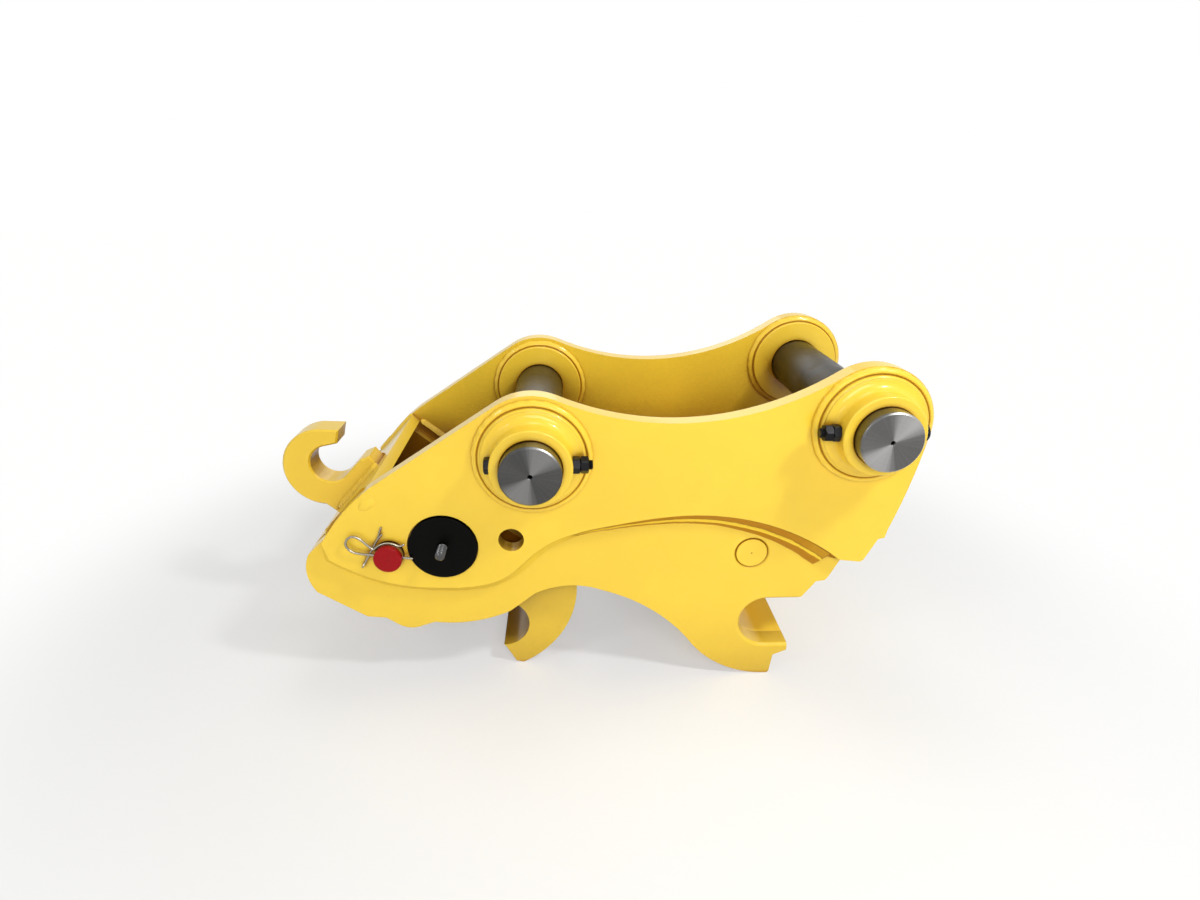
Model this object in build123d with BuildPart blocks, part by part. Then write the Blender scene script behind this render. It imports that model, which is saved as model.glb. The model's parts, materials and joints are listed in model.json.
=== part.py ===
from build123d import *
from math import atan2, cos, degrees, hypot, radians, sin, sqrt
import os

os.makedirs("parts", exist_ok=True)

# Hydraulic quick coupler for a large excavator, millimetres, +Z up.
# The origin is the arm pin's axis at mid width; +X runs towards the fixed hook, +Y to the left side.
# It stands as it rests, on the tips of its fixed and moving hooks, so the pin line rises to the front.

# Pins that join the coupler to the arm and the link
pin_r = 60.0
pin_fit = 0.1
pin_proud = 30.0
pin_chamfer = 3.0
pin_pitch = 672.5
pin_rise = 5.34
centre_mark_r = 5.0
centre_mark_depth = 6.0

# Widths, as half distances from the middle plane
arm_gap_half = 207.5
inner_boss_t = 16.0
side_plate_t = 35.0
hook_plate_t = 45.0
hook_plate_step = 20.0
plate_in = arm_gap_half + inner_boss_t
plate_out = plate_in + side_plate_t
hook_out = plate_out - hook_plate_step
hook_in = hook_out - hook_plate_t
step_in = plate_in - hook_in

# Pin bosses on the side plates
boss_flange_r = 107.0
boss_flange_t = 16.0
boss_collar_r = 80.5
boss_collar_proud = 61.5
boss_collar_half = plate_out + boss_collar_proud
pin_half = boss_collar_half + pin_proud
boss_hub_r = 92.0
boss_blend_r = 22.0
boss_weld = 14.5
boss_edge = 4.0
hub_fit = 0.2

# Through bolts that lock the pins in their bosses
lock_bolt_r = 10.0
lock_bolt_fit = 0.5
lock_bolt_across = 30.0
lock_head_t = 12.5
lock_nut_t = 16.0
lock_bolt_inset = 25.0
lock_bolt_half = boss_collar_half - lock_bolt_inset
nut_gap = 0.1
lock_spot_depth = 2.0
lock_spot_r = 19.0
lock_tip = 8.0

# Side plate outline
rear_eye_r = 128.0
front_eye_r = 122.0
waist_r = 589.0
brow_slope = 33.7
brow_length = 305.0
front_edge_slope = 7.4

# Hook hinge
hinge_at = (-190.0, -200.0)
hinge_pin_r = 50.0
hinge_fit = 0.05
hinge_boss_r = 80.0
hinge_cap_r = 72.5
hinge_cap_t = 14.0
hinge_cap_recess = 10.0
hinge_cap_fit = 1.0
hinge_stud_r = 10.0
hinge_stud_proud = 44.0
hinge_stud_depth = 40.0
washer_t = 5.0
washer_gap = 0.25

# Doubler inside each side plate, between the hinge and the rear cover
doubler_length = 90.0
doubler_slope = -39.6
doubler_inset = 22.0
doubler_foot = (-385.0, -215.0)
doubler_gap = 0.3

# Ledge under the side plate's edge, over the fixed hook
ledge_t = 10.0
ledge_front = 0.925
ledge_rear = 0.29
ledge_widths = [(0.0, 25.0), (0.4, 27.0), (0.925, 28.0)]
ledge_rear_widths = [(0.19, 14.0), (0.29, 8.0)]
seam_leg = 16.0

# Plain hole in each side plate
plain_hole_at = (-48.0, -186.0)
plain_hole_r = 26.5

# Fixed jaw
jaw_at = (516.0, -417.0)
jaw_r = 61.0
jaw_upper_lip = 61.0
jaw_lower_lip = 55.0
jaw_edge = 8.0
saddle_t = 25.0
toe_t = 20.0
floor_z = -560.0

# Moving hook
hook_jaw_at = (-81.0, -448.0)
hook_half = hook_in - washer_t - 2 * washer_gap
hook_cheek_t = 70.0
hook_hub_r = 75.0
hook_collar_in = 52.0
bush_wall = 10.0
bush_fit = 0.05
lever_r = 115.0
lever_angle = -106.0
lever_ear_r = 45.0
lever_pin_r = 25.0
lever_pin_fit = 0.1
web_slope = -30.0
web_distance = 158.0

# Cylinder
anchor_at = (466.0, -237.0)
anchor_r = 33.5
anchor_fit = 0.1
anchor_groove = 5.0
cylinder_eye_r = 58.0
cylinder_eye_half = 45.0
barrel_r = 52.0
barrel_bore_r = 40.0
barrel_end_t = 16.0
barrel_length = 512.0
gland_r = 47.0
gland_nose = 14.0
gland_depth = 40.0
rod_r = 28.0
slide_fit = 0.05
piston_t = 45.0
piston_back = 78.0
rod_eye_r = 42.0
rod_eye_play = 2.7
port_r = 17.0
port_bore_r = 7.0
port_height = 18.0
port_rear = 95.0
port_front = 445.0

# Safety pin in its parking hole, with its clip
safety_at = (-300.0, -214.0)
safety_hole_r = 30.0
safety_pin_r = 28.0
safety_seat = 0.3
safety_cap_r = 28.8
safety_cap_t = 9.0
safety_cap_edge = 1.5
safety_proud = 25.0
safety_half = plate_out + safety_proud
clip_wire_r = 2.5
clip_hole_fit = 0.4
clip_proud = 9.5
clip_half = plate_out + clip_proud
clip_slope = -6.6
clip_reach = 42.0
cotter_wire_r = 2.0
cotter_gap = 0.3
cotter_slope = 60.5
cotter_line = 35.7
cotter_high = 51.0

# Cross plates
cross_t = 25.0
deck_t = 20.0
deck_at = [(130.0, -125.0), (335.0, -110.0), (600.0, -100.0)]
cover_top = (-342.0, -80.0)
cover_length = 140.0
front_wide = 100.0

# Lifting hook
lift_t = 65.0
lift_edge = 4.0
lift_outer_at = (-498.0, -120.5)
lift_outer_r = 95.7
lift_throat_at = (-484.0, -111.0)
lift_throat_r = 45.0
lift_tip_top = (-453.0, -27.0)
lift_tip_low = (-461.0, -60.0)
lift_root = (-372.0, -118.0)
lift_shoulder = (-391.0, -92.0)

SIDES = {"right": -1, "left": 1}


def polar(centre, r, angle):
    """Point at radius r and angle in degrees round centre, in the side view."""
    return (centre[0] + r * cos(radians(angle)), centre[1] + r * sin(radians(angle)))


def near(reference, dx, dz):
    """Point at an offset from a reference point, in the side view."""
    return (reference[0] + dx, reference[1] + dz)


def side_plane(y):
    """Plane of the side view at width y: local x is X, local y is Z, extrusion runs towards -Y."""
    return Plane(origin=(0, y, 0), x_dir=(1, 0, 0), z_dir=(0, -1, 0))


def across(point):
    """Axis along Y through a point of the side view."""
    return Axis((point[0], 0, point[1]), (0, 1, 0))


def half_plane(point):
    """Plane through a Y axis: local x is the radius from the point, local y is Y."""
    return Plane(origin=(point[0], 0, point[1]), x_dir=(1, 0, 0), z_dir=(0, 0, 1))


def slab_start(low, high, sign):
    """Highest Y of a plate that lies between two half widths on one side."""
    return high if sign > 0 else -low


def bolt_plane(point, x):
    """Plane across a lock bolt, at a distance x from the pin axis: local x is Y, extrusion runs along X."""
    return Plane(origin=(point[0] + x, -lock_bolt_half, point[1]), x_dir=(0, 1, 0), z_dir=(1, 0, 0))


def strip(points, t):
    """Outline of a bent plate: points along one face, the other face t to their left, bends mitred."""
    normals = []
    for (x0, z0), (x1, z1) in zip(points, points[1:]):
        run = hypot(x1 - x0, z1 - z0)
        normals.append((-(z1 - z0) / run, (x1 - x0) / run))
    normals = [normals[0], *normals, normals[-1]]
    other = []
    for (x, z), (ax, az), (bx, bz) in zip(points, normals, normals[1:]):
        scale = t / (1 + ax * bx + az * bz)
        other.append((x + (ax + bx) * scale, z + (az + bz) * scale))
    return [*points, *reversed(other)]


def along(start, end, distance):
    """Point at a distance from start towards end."""
    run = hypot(end[0] - start[0], end[1] - start[1])
    return (start[0] + (end[0] - start[0]) * distance / run, start[1] + (end[1] - start[1]) * distance / run)


def save(piece, name):
    """Label a piece and write its STEP file."""
    piece.label = name
    export_step(piece, f"parts/{name}.step")


# Seat of a lock bolt's head and nut on the collar
lock_seat = boss_collar_r - lock_spot_depth

# Reference points of the side view
arm_at = (0.0, 0.0)
link_at = polar(arm_at, pin_pitch, pin_rise)
lever_at = polar(hinge_at, lever_r, lever_angle)
rod_dir = ((lever_at[0] - anchor_at[0]), (lever_at[1] - anchor_at[1]))
cylinder_length = hypot(*rod_dir)
rod_dir = (rod_dir[0] / cylinder_length, rod_dir[1] / cylinder_length)

# Side plate outline points
brow_start = polar(arm_at, rear_eye_r, 90 + brow_slope)
brow_end = near(brow_start, -brow_length * cos(radians(brow_slope)), -brow_length * sin(radians(brow_slope)))
nose = near(hinge_at, -249, 10)
nose_bulge = near(hinge_at, -195, 82)
seam_rear = near(hinge_at, -238, -29)
seam_lobe = near(hinge_at, -15, -101)
seam_lobe_end = near(hinge_at, 127, -77)
seam_foot = (11.0, -210.0)
seam_rise = (166.0, -154.0)
seam_top = (335.0, -133.0)
seam_front = near(link_at, -18.6, -306.6)
front_corner = [near(link_at, 25.4, -311.6), near(link_at, 32.4, -307.6), near(link_at, 56.4, -256.6),
                near(link_at, 69.4, -253.6), near(link_at, 73.4, -232.6)]
front_tangent = polar(link_at, front_eye_r, -front_edge_slope)
front_down = (-sin(radians(front_edge_slope)), -cos(radians(front_edge_slope)))

# Centre of the waist arc, which touches both eyes from outside
reach_rear = rear_eye_r + waist_r
reach_front = front_eye_r + waist_r
waist_along = (reach_rear**2 - reach_front**2 + pin_pitch**2) / (2 * pin_pitch)
waist_up = sqrt(reach_rear**2 - waist_along**2)
waist_at = near(polar(arm_at, waist_along, pin_rise), -waist_up * sin(radians(pin_rise)),
                waist_up * cos(radians(pin_rise)))
waist_rear = polar(arm_at, rear_eye_r, degrees(atan2(waist_at[1], waist_at[0])))
waist_front = polar(link_at, front_eye_r,
                    degrees(atan2(waist_at[1] - link_at[1], waist_at[0] - link_at[0])))
waist_low = near(waist_at, waist_r * sin(radians(pin_rise)), -waist_r * cos(radians(pin_rise)))

# Hook plate outline points
nose_top = near(hinge_at, -287, -27)
nose_front = near(hinge_at, -297, -72)
nose_low = near(hinge_at, -281, -121)
keel = [near(hinge_at, -181, -186), near(hinge_at, -141, -190), near(hinge_at, -118, -206)]
keel_bump = near(hinge_at, -93, -217)
keel_end = near(hinge_at, -62, -212)
seat_start = near(hinge_at, -35, -203)
seat_low = near(hinge_at, 40, -204)
seat_end = near(hinge_at, 132, -177)
arch_start = near(hinge_at, 188, -132)
arch_top = (72.0, -313.0)
arch_end = (144.0, -326.0)
belly = near(jaw_at, -260, 37)
belly_end = near(jaw_at, -165, -58)
toe_bulge = near(jaw_at, -91, -119)
toe = (jaw_at[0] + 16, floor_z)
toe_lip = [near(toe, 4, 5), near(jaw_at, 25, -92), near(jaw_at, 55, -79), near(jaw_at, jaw_lower_lip, -jaw_r)]
lip_step = [near(jaw_at, jaw_upper_lip, jaw_r), near(jaw_at, 72, 66), near(link_at, -53.6, -373.6),
            near(link_at, -34.6, -370.6), near(link_at, -27.6, -360.6), near(link_at, -8.6, -319.6), seam_front]


def seam_curve():
    """Welded stretch of the joint: an arc over the fixed hook, then a smooth dip under the hinge."""
    arch = TangentArc(seam_top, seam_front, tangent=(1, 0))
    dip = Spline(seam_top, seam_rise, seam_foot, seam_lobe_end, seam_lobe, seam_rear,
                 tangents=[(-1, 0), (-0.83, 0.56)])
    return arch, dip


def beside(edge, place, turn, distance):
    """Point square to an edge, at a distance from a place along it."""
    return edge @ place + Vector(edge % place).rotate(Axis.Z, turn) * distance


def seam_line():
    """Joint between side plate and hook plate, from the front end back to the nose."""
    seam_curve()
    Line(seam_rear, nose)


# Side plates
for side, sign in SIDES.items():
    with BuildPart() as side_plate:
        with BuildSketch(side_plane(slab_start(plate_in, plate_out, sign))):
            with BuildLine():
                Line(brow_start, brow_end)
                ThreePointArc(brow_end, nose_bulge, nose)
                seam_line()
                Polyline(seam_front, *front_corner)
                TangentArc(front_tangent, front_corner[-1], tangent=front_down)
                ThreePointArc(front_tangent, polar(link_at, front_eye_r, 45), waist_front)
                ThreePointArc(waist_front, waist_low, waist_rear)
                ThreePointArc(waist_rear, polar(arm_at, rear_eye_r, 100), brow_start)
            make_face()
            with Locations(arm_at, link_at):
                Circle(boss_hub_r + hub_fit, mode=Mode.SUBTRACT)
            with Locations(hinge_at):
                Circle(hinge_pin_r + hinge_fit, mode=Mode.SUBTRACT)
            with Locations(plain_hole_at):
                Circle(plain_hole_r, mode=Mode.SUBTRACT)
            with Locations(safety_at):
                Circle(safety_hole_r, mode=Mode.SUBTRACT)
        extrude(amount=side_plate_t)
        with BuildSketch(side_plane(slab_start(plate_out - hinge_cap_recess, plate_out, sign))):
            with Locations(hinge_at):
                Circle(hinge_cap_r + hinge_cap_fit)
        extrude(amount=hinge_cap_recess, mode=Mode.SUBTRACT)
    save(side_plate.part, f"{side}_side_plate")

# Hook plates, with the fixed jaw cut into them
for side, sign in SIDES.items():
    with BuildPart() as hook_plate:
        with BuildSketch(side_plane(slab_start(hook_in, hook_out, sign))):
            with BuildLine():
                seam_line()
                Line(nose, nose_top)
                ThreePointArc(nose_top, nose_front, nose_low)
                Polyline(nose_low, *keel)
                ThreePointArc(keel[-1], keel_bump, keel_end)
                Line(keel_end, seat_start)
                ThreePointArc(seat_start, seat_low, seat_end)
                Line(seat_end, arch_start)
                ThreePointArc(arch_start, arch_top, arch_end)
                ThreePointArc(arch_end, belly, belly_end)
                ThreePointArc(belly_end, toe_bulge, toe)
                Polyline(toe, *toe_lip)
                Line(toe_lip[-1], near(jaw_at, 0, -jaw_r))
                ThreePointArc(near(jaw_at, 0, -jaw_r), near(jaw_at, -jaw_r, 0), near(jaw_at, 0, jaw_r))
                Polyline(near(jaw_at, 0, jaw_r), *lip_step)
            make_face()
            with Locations(anchor_at):
                Circle(anchor_r + anchor_fit, mode=Mode.SUBTRACT)
        extrude(amount=hook_plate_t)
        outer_face = hook_plate.faces().sort_by(Axis.Y)[0 if sign < 0 else -1]
        jaw_arc = outer_face.outer_wire().edges().filter_by(
            lambda edge: edge.geom_type == GeomType.CIRCLE and abs(edge.radius - jaw_r) < pin_fit)
        chamfer(outer_face.inner_wires()[0].edges(), anchor_groove)
        fillet(jaw_arc, jaw_edge)
    save(hook_plate.part, f"{side}_hook_plate")

# Ledge over the fixed hook and fillet weld behind it, made flat and then stood up on their side
for side, sign in SIDES.items():
    with BuildLine() as seam_path:
        arch, dip = seam_curve()
    with BuildPart() as seam_weld:
        with BuildSketch():
            with BuildLine():
                ledge_low = [beside(arch, place, -90, width) for place, width in reversed(ledge_widths)]
                ledge_low += [beside(dip, place, 90, width) for place, width in ledge_rear_widths]
                Spline(ledge_low)
                Line(ledge_low[0], arch @ ledge_front)
                add(arch.trim(0, ledge_front))
                add(dip.trim(0, ledge_rear))
                Line(dip @ ledge_rear, ledge_low[-1])
            make_face()
        extrude(amount=-sign * ledge_t)
        weld_wire = Wire([dip.trim(ledge_rear - 0.02, 1)])
        section = Plane(origin=weld_wire @ 0, x_dir=(0, 0, -sign), z_dir=weld_wire % 0)
        down = 1 if section.y_dir.Y < 0 else -1
        with BuildSketch(section):
            with BuildLine():
                Polyline((0, 0), (seam_leg, 0), (0, down * seam_leg), close=True)
            make_face()
        sweep(path=weld_wire)
    save(side_plane(sign * hook_out).location * seam_weld.part, f"{side}_seam_weld")

# Pin bosses: a flange and a collar with a broad blend between them, on a hub that fills the plate's bore
for side, sign in SIDES.items():
    for place, centre in {"arm": arm_at, "link": link_at}.items():
        flange_top = plate_out + boss_flange_t
        with BuildPart() as boss:
            with BuildSketch(half_plane(centre)):
                with BuildLine():
                    Polyline([(boss_collar_r, sign * (flange_top + boss_blend_r)),
                              (boss_collar_r, sign * (boss_collar_half - boss_edge)),
                              (boss_collar_r - boss_edge, sign * boss_collar_half),
                              (pin_r + pin_fit, sign * boss_collar_half),
                              (pin_r + pin_fit, sign * plate_in),
                              (boss_hub_r, sign * plate_in),
                              (boss_hub_r, sign * plate_out),
                              (boss_flange_r + boss_weld, sign * plate_out),
                              (boss_flange_r, sign * (flange_top - boss_edge)),
                              (boss_flange_r - boss_edge, sign * flange_top),
                              (boss_collar_r + boss_blend_r, sign * flange_top)])
                    RadiusArc((boss_collar_r + boss_blend_r, sign * flange_top),
                              (boss_collar_r, sign * (flange_top + boss_blend_r)), sign * boss_blend_r)
                make_face()
            revolve(axis=across(centre))
            if side == "right":
                with BuildSketch(bolt_plane(centre, 0)):
                    Circle(lock_bolt_r + lock_bolt_fit)
                extrude(amount=boss_flange_r, both=True, mode=Mode.SUBTRACT)
                for seat in (lock_seat, -lock_seat):
                    with BuildSketch(bolt_plane(centre, seat)):
                        Circle(lock_spot_r)
                    extrude(amount=seat, mode=Mode.SUBTRACT)
        save(boss.part, f"{side}_{place}_pin_boss")

# Inner bosses, the faces that the arm and the link run against
for side, sign in SIDES.items():
    for place, centre in {"arm": arm_at, "link": link_at}.items():
        with BuildPart() as inner_boss:
            with BuildSketch(half_plane(centre)):
                with BuildLine():
                    Polyline((pin_r + pin_fit, sign * arm_gap_half),
                             (boss_flange_r - boss_edge, sign * arm_gap_half),
                             (boss_flange_r, sign * (arm_gap_half + boss_edge)),
                             (boss_flange_r + boss_weld, sign * plate_in),
                             (pin_r + pin_fit, sign * plate_in), close=True)
                make_face()
            revolve(axis=across(centre))
        save(inner_boss.part, f"{side}_{place}_inner_boss")

# Pins, each drilled across for its lock bolt
for place, centre in {"arm": arm_at, "link": link_at}.items():
    with BuildPart() as pin:
        with Locations((centre[0], 0, centre[1])):
            Cylinder(pin_r, 2 * pin_half, rotation=(90, 0, 0))
        chamfer(pin.edges().filter_by(GeomType.CIRCLE), pin_chamfer)
        for end in (-1, 1):
            with Locations((centre[0], end * (pin_half - centre_mark_depth / 2), centre[1])):
                Cylinder(centre_mark_r, centre_mark_depth, rotation=(90, 0, 0), mode=Mode.SUBTRACT)
        with BuildSketch(bolt_plane(centre, 0)):
            Circle(lock_bolt_r + lock_bolt_fit)
        extrude(amount=pin_r, both=True, mode=Mode.SUBTRACT)
    save(pin.part, f"{place}_pin")

# Lock bolts with their heads away from each other, and two nuts on each
lock_end = lock_seat + 2 * lock_nut_t + lock_tip
with BuildPart() as lock_bolts:
    for centre, way in ((arm_at, 1), (link_at, -1)):
        with BuildSketch(bolt_plane(centre, -way * lock_seat)):
            RegularPolygon(lock_bolt_across / 2, 6, major_radius=False)
        extrude(amount=-way * lock_head_t)
        with BuildSketch(bolt_plane(centre, -way * lock_seat)):
            Circle(lock_bolt_r)
        extrude(amount=way * (lock_seat + lock_end))
save(lock_bolts.part, "pin_lock_bolts")

with BuildPart() as lock_nuts:
    for centre, way in ((arm_at, 1), (link_at, -1)):
        for place in (0, 1):
            start = lock_seat + place * (lock_nut_t + nut_gap)
            with BuildSketch(bolt_plane(centre, way * start)):
                RegularPolygon(lock_bolt_across / 2, 6, major_radius=False)
                Circle(lock_bolt_r + nut_gap, mode=Mode.SUBTRACT)
            extrude(amount=way * lock_nut_t)
save(lock_nuts.part, "pin_lock_nuts")

# Cross plates that join the two sides
cover_end = along(cover_top, nose_top, cover_length)
with BuildPart() as rear_cover:
    with BuildSketch(side_plane(0)):
        with BuildLine():
            Polyline(strip([cover_top, cover_end], cross_t), close=True)
        make_face()
    extrude(amount=plate_in, both=True)
save(rear_cover.part, "rear_cover_plate")

with BuildPart() as nose_plate:
    with BuildSketch(side_plane(0)):
        with BuildLine():
            Polyline(strip([cover_end, nose_top, nose_front, nose_low, keel[0], keel[1]], cross_t), close=True)
        make_face()
    extrude(amount=hook_in, both=True)
save(nose_plate.part, "nose_plate")

front_low = near(jaw_at, 76, 81)
front_top = near(link_at, 52.4, -222.6)
with BuildPart() as front_cross:
    with BuildSketch(side_plane(0)):
        with BuildLine():
            Polyline(strip([front_low, front_top], cross_t), close=True)
        make_face()
    extrude(amount=hook_in, both=True)
    with BuildSketch(side_plane(0)):
        with BuildLine():
            Polyline(strip([along(front_top, front_low, front_wide), front_top], cross_t), close=True)
        make_face()
    extrude(amount=plate_in, both=True)
save(front_cross.part, "front_cross_plate")

with BuildPart() as deck:
    with BuildSketch(side_plane(0)):
        with BuildLine():
            Polyline(strip([*deck_at, near(front_top, -20, 28)], -deck_t), close=True)
        make_face()
    extrude(amount=plate_in, both=True)
save(deck.part, "deck_plate")

# Saddle of the fixed jaw and the toe plate under it
with BuildPart() as saddle:
    with BuildSketch(side_plane(0)):
        with Locations(jaw_at):
            Circle(jaw_r + saddle_t)
            Rectangle(jaw_lower_lip, 2 * (jaw_r + saddle_t), align=(Align.MIN, Align.CENTER))
            Circle(jaw_r, mode=Mode.SUBTRACT)
            Rectangle(2 * jaw_r + saddle_t, 2 * jaw_r, align=(Align.MIN, Align.CENTER), mode=Mode.SUBTRACT)
        with Locations(near(jaw_at, jaw_lower_lip, 0)):
            Rectangle(jaw_r, 2 * jaw_r + 2 * saddle_t, align=(Align.MIN, Align.CENTER), mode=Mode.SUBTRACT)
    extrude(amount=hook_in, both=True)
save(saddle.part, "front_jaw_saddle")

with BuildPart() as toe_plate:
    with BuildSketch(side_plane(0)):
        with BuildLine():
            toe_curve = ThreePointArc(belly_end, toe_bulge, toe)
            inner_start = toe_curve @ 0 + Vector(toe_curve % 0).rotate(Axis.Z, 90) * toe_t
            inner_middle = toe_curve @ 0.5 + Vector(toe_curve % 0.5).rotate(Axis.Z, 90) * toe_t
            inner_end = toe_curve @ 1 + Vector(toe_curve % 1).rotate(Axis.Z, 90) * toe_t
            ThreePointArc(inner_start, inner_middle, inner_end)
            Line(toe_curve @ 0, inner_start)
            Line(toe_curve @ 1, inner_end)
        make_face()
    extrude(amount=hook_in, both=True)
save(toe_plate.part, "hook_toe_plate")

# Lifting hook on the rear cover
with BuildPart() as lifting_hook:
    with BuildSketch(side_plane(lift_t / 2)):
        with BuildLine():
            Line(lift_tip_top, polar(lift_outer_at, lift_outer_r, 95))
            ThreePointArc(polar(lift_outer_at, lift_outer_r, 95), polar(lift_outer_at, lift_outer_r, 180),
                          polar(lift_outer_at, lift_outer_r, 265))
            Polyline(polar(lift_outer_at, lift_outer_r, 265), near(nose_top, 2, -16), near(nose_top, 60, 0),
                     lift_root, lift_shoulder, near(lift_shoulder, -22, -9),
                     polar(lift_throat_at, lift_throat_r, -38))
            ThreePointArc(polar(lift_throat_at, lift_throat_r, -38), polar(lift_throat_at, lift_throat_r, -150),
                          polar(lift_throat_at, lift_throat_r, 100))
            Polyline(polar(lift_throat_at, lift_throat_r, 100), lift_tip_low, lift_tip_top)
        make_face()
        with BuildLine():
            Polyline(cover_top, nose_top)
            ThreePointArc(nose_top, nose_front, nose_low)
            Polyline(nose_low, near(nose_low, 150, 0), cover_top)
        make_face(mode=Mode.SUBTRACT)
    extrude(amount=lift_t)
    cover_normal = strip([nose_top, cover_top], 1)[-1]
    cover_normal = Vector(cover_normal[0] - nose_top[0], 0, cover_normal[1] - nose_top[1])
    cover_level = Vector(cover_top[0], 0, cover_top[1]).dot(cover_normal)
    free_edges = lifting_hook.edges().filter_by(
        lambda edge: abs(edge.center().Y) > lift_t / 2 - pin_fit
        and edge.center().dot(cover_normal) > cover_level + lift_edge)
    chamfer(free_edges, lift_edge)
save(lifting_hook.part, "lifting_hook")

# Cylinder anchor bar, flush with the hook plates
with BuildPart() as anchor_bar:
    with Locations((anchor_at[0], 0, anchor_at[1])):
        Cylinder(anchor_r, 2 * hook_out, rotation=(90, 0, 0))
save(anchor_bar.part, "cylinder_anchor_bar")

# Hook hinge: bosses inside the side plates, a pin between them, and a cap on a stud at each end
hinge_pin_half = plate_out - hinge_cap_recess
cover_inner = strip([cover_top, cover_end], cross_t + doubler_gap)[2:]
doubler_top = along(cover_inner[1], cover_inner[0], doubler_inset)
doubler_rear = along(cover_inner[0], cover_inner[1], doubler_inset)
for side, sign in SIDES.items():
    with BuildPart() as hinge_boss:
        with BuildSketch(side_plane(slab_start(hook_in, plate_in, sign))):
            with BuildLine():
                Polyline(doubler_top, polar(doubler_top, doubler_length, doubler_slope), polar(hinge_at, hinge_boss_r, 75),
                         polar(hinge_at, hinge_boss_r, 235), doubler_foot, doubler_rear, close=True)
            make_face()
            with Locations(hinge_at):
                Circle(hinge_boss_r)
                Circle(hinge_pin_r + hinge_fit, mode=Mode.SUBTRACT)
            with Locations(safety_at):
                Circle(safety_hole_r, mode=Mode.SUBTRACT)
        extrude(amount=step_in)
    save(hinge_boss.part, f"{side}_hinge_boss")
    with BuildPart() as hinge_cap:
        cap_low = hinge_pin_half
        with BuildSketch(side_plane(slab_start(cap_low, cap_low + hinge_cap_t, sign))):
            with Locations(hinge_at):
                Circle(hinge_cap_r)
                Circle(hinge_stud_r + nut_gap, mode=Mode.SUBTRACT)
        extrude(amount=hinge_cap_t)
    save(hinge_cap.part, f"{side}_hinge_cap")
    with BuildPart() as washer:
        with BuildSketch(side_plane(slab_start(hook_half + washer_gap, hook_half + washer_gap + washer_t, sign))):
            with Locations(hinge_at):
                Circle(hook_hub_r)
                Circle(hinge_pin_r + washer_gap, mode=Mode.SUBTRACT)
        extrude(amount=washer_t)
    save(washer.part, f"{side}_thrust_washer")

with BuildPart() as hinge_pin:
    with Locations((hinge_at[0], 0, hinge_at[1])):
        Cylinder(hinge_pin_r, 2 * hinge_pin_half, rotation=(90, 0, 0))
    for end in (-1, 1):
        with Locations((hinge_at[0], end * (hinge_pin_half - hinge_stud_depth / 2), hinge_at[1])):
            Cylinder(hinge_stud_r + nut_gap, hinge_stud_depth, rotation=(90, 0, 0), mode=Mode.SUBTRACT)
save(hinge_pin.part, "hinge_pin")

with BuildPart() as hinge_studs:
    stud_length = hinge_stud_depth + hinge_cap_t + hinge_stud_proud
    for end in (-1, 1):
        stud_middle = hinge_pin_half - hinge_stud_depth + stud_length / 2
        with Locations((hinge_at[0], end * stud_middle, hinge_at[1])):
            Cylinder(hinge_stud_r, stud_length, rotation=(90, 0, 0))
save(hinge_studs.part, "hinge_studs")

# Moving hook: two cheeks with hub collars, and a web that makes the lower lip one wide saddle
back_top = near(hook_jaw_at, 161, 143)
back_turn = near(hook_jaw_at, 171, 98)
back_middle = near(hook_jaw_at, 129, -39)
back_end = (hook_jaw_at[0] + 45, floor_z)
hub_slope = degrees(atan2(back_top[1] - hinge_at[1], back_top[0] - hinge_at[0]))
hub_reach = hypot(back_top[0] - hinge_at[0], back_top[1] - hinge_at[1])
hub_front = polar(hinge_at, hook_hub_r, hub_slope + degrees(atan2(sqrt(hub_reach**2 - hook_hub_r**2), hook_hub_r)))
ear_side = lever_angle + 180 + 90 + degrees(atan2(hook_hub_r - lever_ear_r, lever_r))
throat_end = polar(hook_jaw_at, jaw_r, 110)


def hook_outline():
    """Outline of the moving hook in the side view."""
    Polyline(hub_front, back_top, back_turn)
    ThreePointArc(back_turn, back_middle, back_end)
    Polyline(back_end, near(back_end, -17, 4), near(hook_jaw_at, 4, -jaw_r - 3), near(hook_jaw_at, 0, -jaw_r))
    ThreePointArc(near(hook_jaw_at, 0, -jaw_r), near(hook_jaw_at, jaw_r, 0), throat_end)
    Line(throat_end, polar(lever_at, lever_ear_r, lever_angle))
    ThreePointArc(polar(lever_at, lever_ear_r, lever_angle), polar(lever_at, lever_ear_r, lever_angle - 40),
                  polar(lever_at, lever_ear_r, ear_side))
    Line(polar(lever_at, lever_ear_r, ear_side), polar(hinge_at, hook_hub_r, ear_side))
    ThreePointArc(polar(hinge_at, hook_hub_r, ear_side), polar(hinge_at, hook_hub_r, 110), hub_front)


for side, sign in SIDES.items():
    with BuildPart() as cheek:
        with BuildSketch(side_plane(slab_start(hook_half - hook_cheek_t, hook_half, sign))):
            with BuildLine():
                hook_outline()
            make_face()
            with Locations(hinge_at):
                Circle(hinge_pin_r + bush_wall + pin_fit, mode=Mode.SUBTRACT)
            with Locations(lever_at):
                Circle(lever_pin_r + lever_pin_fit, mode=Mode.SUBTRACT)
        extrude(amount=hook_cheek_t)
        with BuildSketch(side_plane(slab_start(hook_collar_in, hook_half - hook_cheek_t, sign))):
            with Locations(hinge_at):
                Circle(hook_hub_r)
                Circle(hinge_pin_r + bush_wall + pin_fit, mode=Mode.SUBTRACT)
        extrude(amount=hook_half - hook_cheek_t - hook_collar_in)
    save(cheek.part, f"{side}_hook_cheek")

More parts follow.
